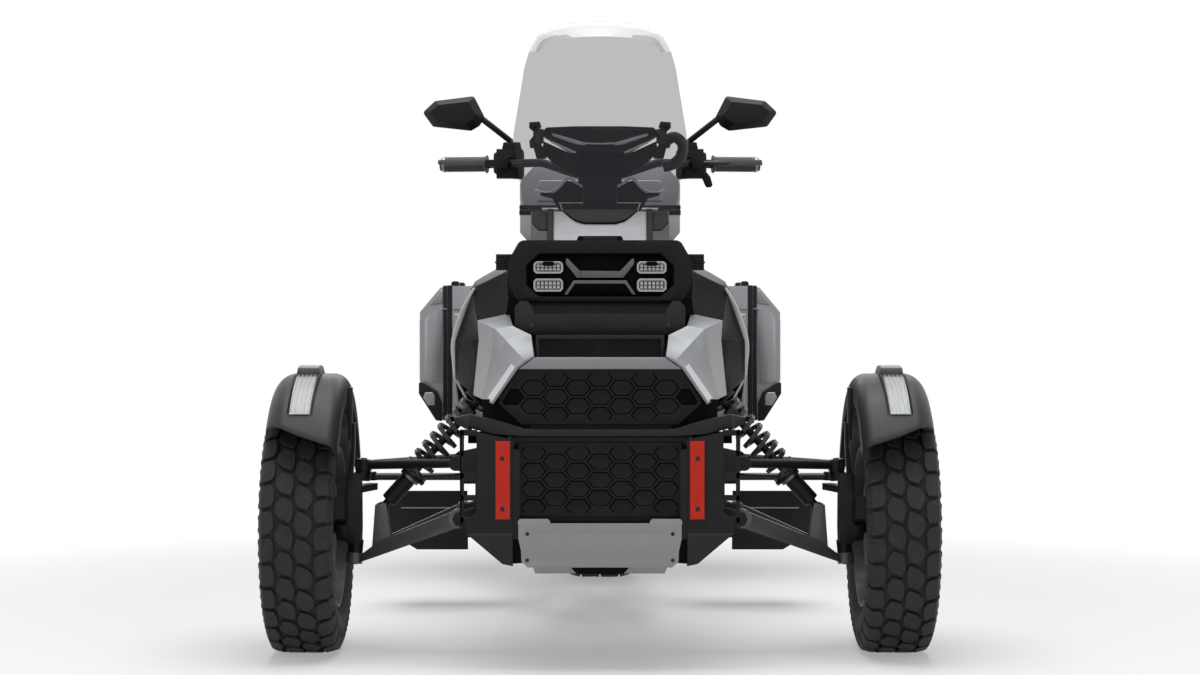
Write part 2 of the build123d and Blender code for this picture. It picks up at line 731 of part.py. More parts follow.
# ---- headlight ----
headlight_front_y = -1100
headlight_back_y = -962
headlight_recess = 26
lamp_rows = [(899, 926), (856, 886)]   # bottom z, top z


def rounded_face(points, y, radius):
    face = outline_face([(x, y, z) for x, z in points])
    return face.fillet_2d(radius, face.vertices())


def headlight_housing():
    front = rounded_face(both([(193, 835), (214, 880), (214, 926), (186, 976)]), headlight_front_y, 20)
    back = rounded_face(both([(176, 850), (190, 885), (190, 920), (166, 962)]), headlight_back_y, 16)
    body = loft([front, back], ruled=True).solid()
    recess = rounded_face(both([(142, 845), (172, 872), (172, 918), (142, 946)]), headlight_front_y - 1, 12)
    body = body - Solid.extrude(recess, Vector(0, headlight_recess + 1, 0))
    lobes = block(200, 242, headlight_front_y + 20, headlight_front_y + 50, 907, 944)
    return fused(body, lobes, mirrored(lobes))


def headlight_lenses():
    y = headlight_front_y
    lenses = []
    for z0, z1 in lamp_rows:
        notch = 8 if z0 > 890 else 0
        outline = [(85, z0), (155, z0), (155, z1), (132, z1), (128, z1 - notch), (112, z1 - notch), (108, z1),
                   (85, z1)]
        if not notch:
            outline = [(85, z0 + 8), (93, z0), (147, z0), (155, z0 + 8), (155, z1), (85, z1)]
        lenses.append(across(outline, y + 8, y + headlight_recess))
    return pair(*lenses)


def headlight_trim():
    y = headlight_front_y
    top = both([(47, 888), (78, 914), (78, 930), (47, 907)])
    low = both([(47, 872), (72, 846), (72, 858), (50, 882)])
    bars = across(top, y + 4, y + headlight_recess)
    bars = bars + across(low, y + 4, y + headlight_recess)
    return bars + block(-30, 30, y + 10, y + headlight_recess, 878, 892)


# ---- cockpit ----
dash_front_y = -620
dash_back_y = -524


def fairing():
    stations = [(headlight_back_y + 1, both([(165, 852), (165, 955)])),
                (-800, both([(172, 872), (168, 1055)])),
                (-640, both([(112, 900), (104, 1054)])),
                (dash_front_y + 16 - seat_gap, both([(100, 960), (72, 1030)]))]
    return skin(stations)


def dash():
    y0, y1 = dash_front_y, dash_back_y
    hood = across(both([(64, 1206), (142, 1253), (133, 1271)]), y0, y1)
    neck = across(both([(45, 1148), (45, 1208)]), y0 + 26, y1 - 8)
    panel = across(both([(41, 1026), (45, 1150)]), y0 + 16, y1 - 8)
    bowl = across(both([(71, 1030), (102, 1079)]), y0 + 20, y1 - 20)
    apex = across([(53, 1078), (110, 1078), (84, 1144)], y0 + 30, y0 + 48)
    return fused(hood, neck, panel, bowl, apex, mirrored(apex))


def display():
    y = dash_back_y
    outline = both([(52, 1216), (112, 1248), (106, 1264)])
    return across(outline, y, y + 5)


# windscreen sections: z, half width, y of the middle, how far the edges lie behind it
screen_sections = [(1050, 186, -806, 62), (1254, 219, -668, 92), (1570, 176, -440, 52)]
screen_wall = 4


def windscreen():
    faces = []
    for z, half, y, sag in screen_sections:
        outer = ThreePointArc((-half, y + sag, z), (0, y, z), (half, y + sag, z))
        back = y + sag + screen_wall
        inner = ThreePointArc((half - 2, back, z), (0, y + screen_wall, z), (-half + 2, back, z))
        edge = Line((half, y + sag, z), (half - 2, back, z))
        close = Line((-half + 2, back, z), (-half, y + sag, z))
        faces.append(Face(Wire([outer.edge(), edge.edge(), inner.edge(), close.edge()])))
    sheet = loft(faces, ruled=True).solid()
    # front view of the screen, with an arched top
    cut = both([(182, 1056), (189, 1076), (206, 1150), (219, 1254), (208, 1380), (183, 1480),
                (162, top_z - 38), (128, top_z - 18), (70, top_z - 4), (0, top_z)])
    return sheet & across(cut, -900, -200)


def screen_brackets():
    outline = [(-626, 1232), (-560, 1236), (-556, 1262), (-574, 1270), (-600.5, 1270)]
    return sideways(outline, 142 + seat_gap, 164)


def tank_cover():
    low = spine_top_z + seat_gap
    stations = [(-424, both([(70, low), (108, 780), (122, 930), (104, 1040), (60, 1066)])),
                (-380, both([(80, low), (112, 780), (132, 930), (116, 1056), (64, 1088)])),
                (-200, both([(90, low), (116, 760), (138, 880), (112, 990), (60, 1010)])),
                (-58, both([(90, low), (112, 730), (130, 800), (96, 872), (56, 884)]))]
    return skin(stations)


# ---- middle ----
footboard_inner_x = 282
footboard_top_z = 208


def engine():
    top = spine_bottom_z - seat_gap
    case = [(-420, 215), (-380, 195), (-60, 195), (-60, top), (-300, top), (-420, 420)]
    crankcase = sideways(case, -160, 160)
    gearbox = sideways([(-62, 195), (90, 215), (115, 330), (90, 450), (-62, 520)], -108, 108)
    shaft = rod((100, belt_front_y, pivot_z), (belt_x + 11, belt_front_y, pivot_z), 18)
    sprocket = rod((belt_x - 11, belt_front_y, pivot_z), (belt_x + 11, belt_front_y, pivot_z),
                   pulley_radius - belt_step)
    return fused(crankcase, gearbox, shaft, sprocket)


def side_covers():
    stations = [(-430 + seat_gap, [(262, 800), (252, 640), (236, 520), (190, 440)]),
                (-120, [(214, 760), (214, 620), (206, 500), (184, 400)]),
                (180, [(176, 730), (184, 640), (180, 560), (176, 470)])]
    cover = shell(stations, panel_wall)
    return pair(cover)


def footrests():
    x0, z0, z1 = footboard_inner_x, footboard_top_z - 12, footboard_top_z
    board = block(x0, 560, -80, 110, z0, z1)
    in_x = rail_x + rail_wall + seat_gap
    riser = across([(in_x, 236), (in_x + 6, 285), (x0 + 8, 285), (x0 + 20, z0 + 4), (x0, z0 + 4),
                    (x0 - 2, 272), (222, 272), (in_x + 8, 236)], 0, 60)
    guard = sideways([(-110, 325), (-100, 325), (-62, 150), (-74, 147)], 360, 576)
    return pair(fused(board, riser, guard))


# ---- rear ----
belt_x = 131
pulley_radius = 92
belt_wall = 5
belt_step = 32
belt_front_y = 20
pivot_y = 170
pivot_z = 330
pivot_radius = 22
rear_shock_head = (0, 300, 578)
rear_shock_foot = (0, 408, 374)


def swingarm():
    z0, z1 = pivot_z, rear_tyre_radius
    end_y = rear_axle_y + 30
    leg = sideways([(pivot_y - 32, z0 - 30), (pivot_y - 32, z0 + 30), (420, z0 + 30), (end_y, z1 + 22),
                    (end_y + 14, z1), (end_y, z1 - 22), (420, z0 - 28)], 150, 176)
    pivot = rod((-176, pivot_y, z0), (176, pivot_y, z0), pivot_radius)
    brace = block(-152, 152, 392, 424, z0 - 22, z0 + 22)
    axle = rod((-176, rear_axle_y, z1), (176, rear_axle_y, z1), axle_radius)
    eye_y, eye_z = rear_shock_foot[1:]
    inner = shock_eye + seat_gap
    clevis = sideways([(392, z0 + 10), (424, z0 + 10), (eye_y + 14, eye_z + 8), (eye_y - 8, eye_z + 12)],
                      inner, inner + 6)
    return fused(leg, mirrored(leg), pivot, brace, axle, clevis, mirrored(clevis))


def rear_shock():
    return shock(rear_shock_head, rear_shock_foot, (1, 0, 0), shock_eye, 0.78, rear_spring_turns)


def drive_belt():
    r0 = pulley_radius + seat_gap
    r1 = r0 + belt_wall
    z0, z1 = pivot_z, rear_tyre_radius
    y0, y1 = belt_front_y, rear_axle_y
    loops = []
    for r in (r1, r0):
        small = r - belt_step
        ends = fused(rod((belt_x - 9, y0, z0), (belt_x + 9, y0, z0), small),
                     rod((belt_x - 9, y1, z1), (belt_x + 9, y1, z1), r))
        slope = math.asin((r - small) / math.hypot(y1 - y0, z1 - z0))
        turn = math.atan2(z1 - z0, y1 - y0)
        corners = []
        wraps = (((y0, z0), small, 1), ((y1, z1), r, 1), ((y1, z1), r, -1), ((y0, z0), small, -1))
        for centre, reach, sign in wraps:
            angle = turn + sign * (math.pi / 2 + slope)
            corners.append((centre[0] + reach * math.cos(angle), centre[1] + reach * math.sin(angle)))
        loops.append(ends + sideways(corners, belt_x - 9, belt_x + 9))
    return loops[0] - loops[1]


def exhaust():
    pipe = tube([(-160 - seat_gap, -200, 222), (-238, -200, 222), (-244, 180, 262), (-252, 330, 320)], 20, 45)
    can = rod((-246, 300, 308), (-262, 640, 424), 52)
    return fused(pipe, can)


rear_guard_clearance = 41
rear_guard_radius = rear_tyre_radius + rear_guard_clearance


def rear_fender():
    r = rear_guard_radius - 5
    section = [(-128, r - 40), (-128, r - 8), (-108, r + 5), (108, r + 5), (128, r - 8), (128, r - 40),
               (123, r - 40), (123, r - 10), (106, r), (-106, r), (-123, r - 10), (-123, r - 40)]
    return turned(section, 0, rear_axle_y, rear_tyre_radius, 10, 120)


def tail_body():
    stations = [(190, [(60, 716), (150, 706), (176, 650), (168, 590)]),
                (560, [(90, 780), (150, 768), (172, 710), (150, 655)]),
                (1050, [(60, 850), (118, 834), (136, 770), (118, 712)])]
    cover = shell(stations, panel_wall)
    for y, z in carrier_places:
        cover = cover - rod((seat_rail_x, y, z), (case_inner_x, y, z), carrier_radius + 1)
    cover = cover - rod((rack_rail_x, 1100, rack_z), rack_strut_foot, carrier_radius + 1)
    return pair(cover)


def tail_lamp():
    return across(both([(112, 766), (130, 790), (118, 832)]), 1050 + seat_gap, 1082)


def rider_seat():
    stations = [(-54, both([(52, 742), (98, 750), (92, 792), (50, 806)])),
                (150, both([(110, 742), (170, 754), (160, 786), (90, 798)])),
                (330, both([(120, 800 - 54), (182, 762), (172, 800), (100, 812)])),
                (430, both([(110, 800 - 30), (170, 790), (150, 866), (90, 886)]))]
    return skin(stations)


def passenger_seat():
    stations = [(434, both([(100, 806), (140, 820), (126, 890), (80, 904)])),
                (620, both([(100, 836), (152, 852), (140, 896), (90, 908)])),
                (800, both([(90, 858), (132, 872), (118, 906), (76, 916)]))]
    return skin(stations)


rack_z = 1012
rack_rail_x = 142
rack_rail_radius = 12
rack_strut_foot = (97, 1004, 779)
carrier_places = [(640, 702), (980, 752)]   # y, z of the bars that carry the side cases
carrier_radius = 10


def rear_rack():
    """Each side's bars are one solid, and the plate is bolted between the two."""
    y, z = carrier_places[0]
    x = rack_rail_x
    rail = tube([(188, y, z), (176, y + 90, 930), (x, 880, rack_z), (x, 1230, rack_z)], rack_rail_radius, 50)
    strut = rod((x, 1100, rack_z), rack_strut_foot, carrier_radius)
    x0, x1 = seat_rail_x + seat_gap, case_inner_x - seat_gap
    carriers = [rod((x0, bar_y, bar_z), (x1, bar_y, bar_z), carrier_radius) for bar_y, bar_z in carrier_places]
    half = x - rack_rail_radius - seat_gap
    top = top_case_bottom_z - seat_gap
    plate = block(-half, half, 930, 1230, rack_z - 4, top) - block(-60, 60, 990, 1170, rack_z - 20, top + 20)
    return solids_of(plate, pair(fused(rail, strut, *carriers)))


def hollow_case(outline, inset, y0, y1, wall):
    """A case of an (x, z) outline; inset is the outline of the space inside."""
    return across(outline, y0, y1) - across(inset, y0 + wall, y1 - wall)


def pannier_body():
    w = case_wall
    x0, x1, z0, z1 = case_inner_x, case_split_x, case_bottom_z, case_top_z
    outline = [(x0, z0 + 20), (x0 + 20, z0), (x1, z0), (x1, z1), (x0 + 20, z1), (x0, z1 - 20)]
    inset = [(x0 + w, z0 + 24), (x0 + 24, z0 + w), (x1 + 1, z0 + w), (x1 + 1, z1 - w), (x0 + 24, z1 - w),
             (x0 + w, z1 - 24)]
    body = hollow_case(outline, inset, case_front_y, case_back_y, w)
    for y in (case_front_y + 90, case_back_y - 90):
        body = body + rod((x1 + 3, y - 30, z0 - 7), (x1 + 3, y + 30, z0 - 7), hinge_radius)
        body = body + block(x1 - 14, x1, y - 30, y + 30, z0 - 9, z0 + 2)
    return body


def pannier_lid():
    w = case_wall
    x0, x1, z0, z1 = case_split_x + 1, case_outer_x, case_bottom_z, case_top_z
    outline = [(x0, z0), (x0 + 30, z0 + 3), (x1, z0 + 81), (x1, z1 - 78), (x0 + 20, z1 - 5), (x0, z1)]
    inset = [(x0 - 1, z0 + w), (x0 + 27, z0 + w + 3), (x1 - w, z0 + 84), (x1 - w, z1 - 81),
             (x0 + 17, z1 - w - 5), (x0 - 1, z1 - w)]
    lid = hollow_case(outline, inset, case_front_y, case_back_y, w)
    middle = (case_front_y + case_back_y) / 2
    hinge_x = case_split_x + 3
    barrel = rod((hinge_x, middle - 60, z0 - 7), (hinge_x, middle + 60, z0 - 7), hinge_radius)
    leaf = block(x0 + 2, x0 + 14, middle - 60, middle + 60, z0 - 9, z0 + 3)
    latch = block(x0 + 2, x0 + 16, middle - 40, middle + 40, z1 - 12, z1 + 4)
    return fused(lid, barrel, leaf, latch)


def top_case_base():
    w, h = case_wall, top_case_half_width
    y0, y1, z0, z1 = top_case_front_y, rear_end_y, top_case_bottom_z, top_case_split_z
    outline = both([(h - 26, z0), (h, z0 + 30), (h, z1)])
    inset = both([(h - 28, z0 + w), (h - w, z0 + 32), (h - w, z1 + 1)])
    body = hollow_case(outline, inset, y0, y1, w)
    for x in (-150, 150):
        body = body + rod((x - 30, y0 - 7, z1), (x + 30, y0 - 7, z1), hinge_radius)
        body = body + block(x - 30, x + 30, y0 - 9, y0 + 2, z1 - 16, z1 - 1)
    return body


def top_case_lid():
    w, h = case_wall, top_case_half_width
    y0, y1, z0, z1 = top_case_front_y, rear_end_y, top_case_split_z + 1, top_case_top_z
    outline = both([(h, z0), (h - 4, z1 - 50), (h - 50, z1)])
    inset = both([(h - w, z0 - 1), (h - w - 4, z1 - 52), (h - 52, z1 - w)])
    lid = hollow_case(outline, inset, y0, y1, w)
    barrel = rod((-110, y0 - 7, z0 - 1), (110, y0 - 7, z0 - 1), hinge_radius)
    return fused(lid, barrel, block(-110, 110, y0 - 9, y0 + 2, z0 + 2, z0 + 16))


# ---- handlebar, which turns about the steering head ----
bar_radius = 11
grip_radius = 20
grip_y = -268
grip_z = 1200


def bar_tube(radius, past):
    y, z = steering_head_y, steering_head_z
    half = [(60, y + 6, z + 16), (150, y + 44, grip_z - 2), (290, grip_y - 18, grip_z),
            (418 + past, grip_y, grip_z)]
    path = [(-a, b, c) for a, b, c in reversed(half)] + half
    return tube(path, radius, 40)


def handlebar():
    y, z = steering_head_y, steering_head_z
    bar = bar_tube(bar_radius, 0)
    lean = math.radians(steering_rake)
    down = (0, -math.sin(lean), -math.cos(lean))
    stem_top = (0, y, z)
    stem_low = tuple(a + d * 280 for a, d in zip(stem_top, down))
    clamp = block(-56, 56, y - 14, y + 26, z - 10, z + 30)
    plate = rod(tuple(a + d * 70 for a, d in zip(stem_top, down)), stem_top, 26)
    return fused(bar, clamp, plate, rod(stem_top, stem_low, 14))


def grips():
    lean = 18 / 128
    grip = rod((296, grip_y - 122 * lean, grip_z), (421, grip_y + 3 * lean, grip_z), grip_radius)
    return pair(grip - bar_tube(bar_radius + 0.2, 0.5))


def controls():
    box = block(204, 272, grip_y - 52, grip_y - 4, 1162, 1238)
    blade = [(262, 1188), (300, 1192), (424, 1196), (424, 1208), (300, 1208), (262, 1210)]
    lever = across(blade, grip_y - 74, grip_y - 62)
    pivot = block(240, 272, grip_y - 76, grip_y - 50, 1184, 1214)
    return pair(fused(box, pivot, lever) - bar_tube(bar_radius + 0.2, 0.5))


mirror_y = -330


def mirror_arms():
    y = mirror_y
    post = rod((236, grip_y - 30, 1246), (236, y + 20, 1262), 9)
    arm = rod((236, y + 20, 1260), (322, y - 6, 1326), 8)
    knob = rod((236, grip_y - 30, 1238), (236, grip_y - 30, 1250), 12)
    return pair(fused(post, arm, knob))


# the head's outline from the front, and the share of it that its flatter face takes
mirror_outline = [(302, 1320), (316, 1298), (338, 1285), (438, 1296), (464, 1332), (432, 1362), (330, 1375)]
mirror_middle = (384, 1331)
mirror_corner = 9


def mirror_face(y, wide, high, round_radius):
    """The head's outline at y, drawn in towards its middle."""
    cx, cz = mirror_middle
    points = [(cx + (x - cx) * wide, cz + (z - cz) * high) for x, z in mirror_outline]
    return rounded_face(points, y, round_radius)


def mirrors():
    faces = [mirror_face(mirror_y - 34, 0.74, 0.62, mirror_corner * 0.6),
             mirror_face(mirror_y - 10, 1, 1, mirror_corner), mirror_face(mirror_y + 8, 1, 1, mirror_corner)]
    head = loft(faces, ruled=True).solid()
    return pair(head - rod((236, mirror_y + 20, 1260), (325, mirror_y - 6.9, 1328.3), 8.2))


def mirror_glass():
    face = mirror_face(mirror_y + 8, 0.9, 0.85, mirror_corner * 0.8)
    return pair(Solid.extrude(face, Vector(0, 3, 0)))


# ---- write every node ----
os.makedirs("parts", exist_ok=True)

rubber_front, metal_front = front_wheel()
rubber_rear, metal_rear = rear_wheel()
damper_front, spring_front = front_shock()
damper_rear, spring_rear = rear_shock()
upright = fused(knuckle(), fender_stay())
guard = fender()
guard_lamp = fender_lamp()

nodes = {
    "frame": frame(),
    "bulkhead": solids_of(bulkhead(), rack_housing()),
    "engine": engine(),
    "radiator": radiator(),
    "upper_grille": upper_grille(),
    "lower_grille": lower_grille(),
    "nose_bar": nose_bar(),
    "cowls": pair(cowl()),
    "shoulders": pair(shoulder()),
    "bumper_plates": bumper_plates(),
    "accent_strips": accent_strips(),
    "skid_plate": skid_plate(),
    "cross_beams": solids_of(cross_beam(), intake_duct(), bumper_bar()),
    "headlight_housing": headlight_housing(),
    "headlight_lenses": headlight_lenses(),
    "headlight_trim": headlight_trim(),
    "fairing": solids_of(fairing(), pair(screen_brackets())),
    "dash": dash(),
    "display": display(),
    "windscreen": windscreen(),
    "tank_cover": tank_cover(),
    "side_covers": solids_of(side_covers(), tail_body()),
    "footrests": footrests(),
    "rider_seat": rider_seat(),
    "passenger_seat": passenger_seat(),
    "tail_lamp": tail_lamp(),
    "rear_fender": rear_fender(),
    "rear_rack": rear_rack(),
    "top_case_base": top_case_base(),
    "top_case_lid": top_case_lid(),
    "swingarm": swingarm(),
    "drive_belt": drive_belt(),
    "exhaust": exhaust(),
    "upper_arms": pair(upper_arm()),
    "lower_arms": pair(lower_arm()),
    "dampers": solids_of(damper_front, mirrored(damper_front), damper_rear),
    "springs": solids_of(spring_front, mirrored(spring_front), spring_rear),
    "tie_rods": tie_rods(),
    "rear_tyre": rubber_rear,
    "rear_rim": metal_rear,
    "handlebar": solids_of(handlebar(), mirror_arms()),
    "grips": grips(),
    "controls": controls(),
    "mirrors": mirrors(),
    "mirror_glass": mirror_glass(),
}
sided = {
    "pannier_body": pannier_body(),
    "pannier_lid": pannier_lid(),
    "knuckle": upright,
    "fender": guard,
    "fender_lamp": guard_lamp,
    "front_tyre": rubber_front,
    "front_rim": metal_front,
}
for name, shape in sided.items():
    nodes[name + "_left"] = shape
    nodes[name + "_right"] = mirrored(shape)

for name, shape in nodes.items():
    export_step(shape, f"parts/{name}.step")
print(len(nodes), "nodes")
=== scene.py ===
import json
import math

import bmesh
import bpy
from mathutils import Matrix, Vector
from mathutils.bvhtree import BVHTree

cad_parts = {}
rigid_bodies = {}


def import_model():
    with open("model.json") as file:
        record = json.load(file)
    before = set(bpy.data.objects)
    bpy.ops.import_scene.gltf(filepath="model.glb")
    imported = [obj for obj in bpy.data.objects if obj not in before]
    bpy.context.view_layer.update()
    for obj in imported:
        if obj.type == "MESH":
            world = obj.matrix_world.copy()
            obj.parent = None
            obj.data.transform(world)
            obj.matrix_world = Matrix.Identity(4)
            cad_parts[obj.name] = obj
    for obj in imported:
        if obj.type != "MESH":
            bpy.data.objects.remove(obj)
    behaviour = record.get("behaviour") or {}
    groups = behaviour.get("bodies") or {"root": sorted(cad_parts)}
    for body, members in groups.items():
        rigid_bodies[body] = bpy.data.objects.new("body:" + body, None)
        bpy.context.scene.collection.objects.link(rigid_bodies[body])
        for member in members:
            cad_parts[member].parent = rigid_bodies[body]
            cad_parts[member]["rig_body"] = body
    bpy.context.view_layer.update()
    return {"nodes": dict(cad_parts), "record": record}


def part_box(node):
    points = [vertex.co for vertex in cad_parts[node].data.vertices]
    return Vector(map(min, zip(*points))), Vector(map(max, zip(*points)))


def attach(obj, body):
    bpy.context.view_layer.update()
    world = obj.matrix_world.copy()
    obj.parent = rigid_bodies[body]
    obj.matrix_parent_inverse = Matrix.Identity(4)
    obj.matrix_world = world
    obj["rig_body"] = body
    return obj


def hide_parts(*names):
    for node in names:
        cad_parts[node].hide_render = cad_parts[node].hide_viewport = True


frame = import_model()
nodes = frame["nodes"]
mm = 0.001
sides = (("left", 1), ("right", -1))


def srgb(hexColour):
    values = [int(hexColour[i:i + 2], 16) / 255 for i in (1, 3, 5)]
    return tuple(v / 12.92 if v <= 0.04045 else ((v + 0.055) / 1.055) ** 2.4 for v in values) + (1.0,)


def addNode(tree, kind, inputs=None, **settings):
    made = tree.nodes.new(kind)
    for name, value in settings.items():
        setattr(made, name, value)
    for socket, value in (inputs or {}).items():
        if isinstance(value, bpy.types.NodeSocket):
            tree.links.new(value, made.inputs[socket])
        else:
            made.inputs[socket].default_value = value
    return made


def maths(tree, operation, *values):
    return addNode(tree, "ShaderNodeMath", dict(enumerate(values)), operation=operation).outputs[0]


def newMaterial(name):
    material = bpy.data.materials.new(name)
    material.use_nodes = True
    tree = material.node_tree
    tree.nodes.clear()
    return material, tree


def noise(tree, place, size, detail, **more):
    # features of a size in millimetres
    return addNode(tree, "ShaderNodeTexNoise",
                   {"Vector": place, "Scale": 1 / (size * mm), "Detail": detail, **more}).outputs["Fac"]


def remap(tree, value, low, high, *source):
    # a value taken from the source range, 0 to 1 unless given, to the one from low to high
    inputs = {"Value": value, "To Min": low, "To Max": high, **dict(zip(("From Min", "From Max"), source))}
    return addNode(tree, "ShaderNodeMapRange", inputs).outputs["Result"]


def principled(material, tree, inputs):
    bsdf = addNode(tree, "ShaderNodeBsdfPrincipled", inputs)
    addNode(tree, "ShaderNodeOutputMaterial", {"Surface": bsdf.outputs["BSDF"]})
    return material


def surface(name, colour, roughness, metallic=0.0, grain=None, mottle=None, wear=None, specular=None, coat=None):
    # grain: (size in mm, bump strength, height in mm); mottle: (size in mm, second colour, share);
    # wear: (size in mm, spread of the roughness); coat: (weight, roughness)
    material, tree = newMaterial(name)
    place = addNode(tree, "ShaderNodeTexCoord").outputs["Object"]
    inputs = {"Base Color": srgb(colour), "Roughness": roughness, "Metallic": metallic}
    if specular is not None:
        inputs["Specular IOR Level"] = specular
    if coat:
        inputs["Coat Weight"], inputs["Coat Roughness"] = coat
    if mottle:
        size, second, share = mottle
        factor = remap(tree, noise(tree, place, size, 3.0), 0.0, share, 0.35, 0.7)
        mix = addNode(tree, "ShaderNodeMix", {"Factor": factor, 6: srgb(colour), 7: srgb(second)}, data_type="RGBA")
        inputs["Base Color"] = mix.outputs[2]
    if wear:
        size, spread = wear
        scuff = noise(tree, place, size, 5.0, Roughness=0.65)
        inputs["Roughness"] = remap(tree, scuff, max(roughness - spread, 0.02), roughness + spread, 0.3, 0.75)
    if grain:
        size, strength, height = grain
        bump = addNode(tree, "ShaderNodeBump", {"Height": noise(tree, place, size, 2.0), "Strength": strength,
                                                "Distance": height * mm})
        inputs["Normal"] = bump.outputs["Normal"]
    return principled(material, tree, inputs)


def glassSheet(name, colour, alpha, roughness, ior=1.58, **shader):
    material, tree = newMaterial(name)
    place = addNode(tree, "ShaderNodeTexCoord").outputs["Object"]
    level = remap(tree, noise(tree, place, 70, 3.0), roughness * 0.7, roughness * 1.4)
    return principled(material, tree, {"Base Color": srgb(colour), "Alpha": alpha, "Roughness": level, "IOR": ior,
                                       **shader})


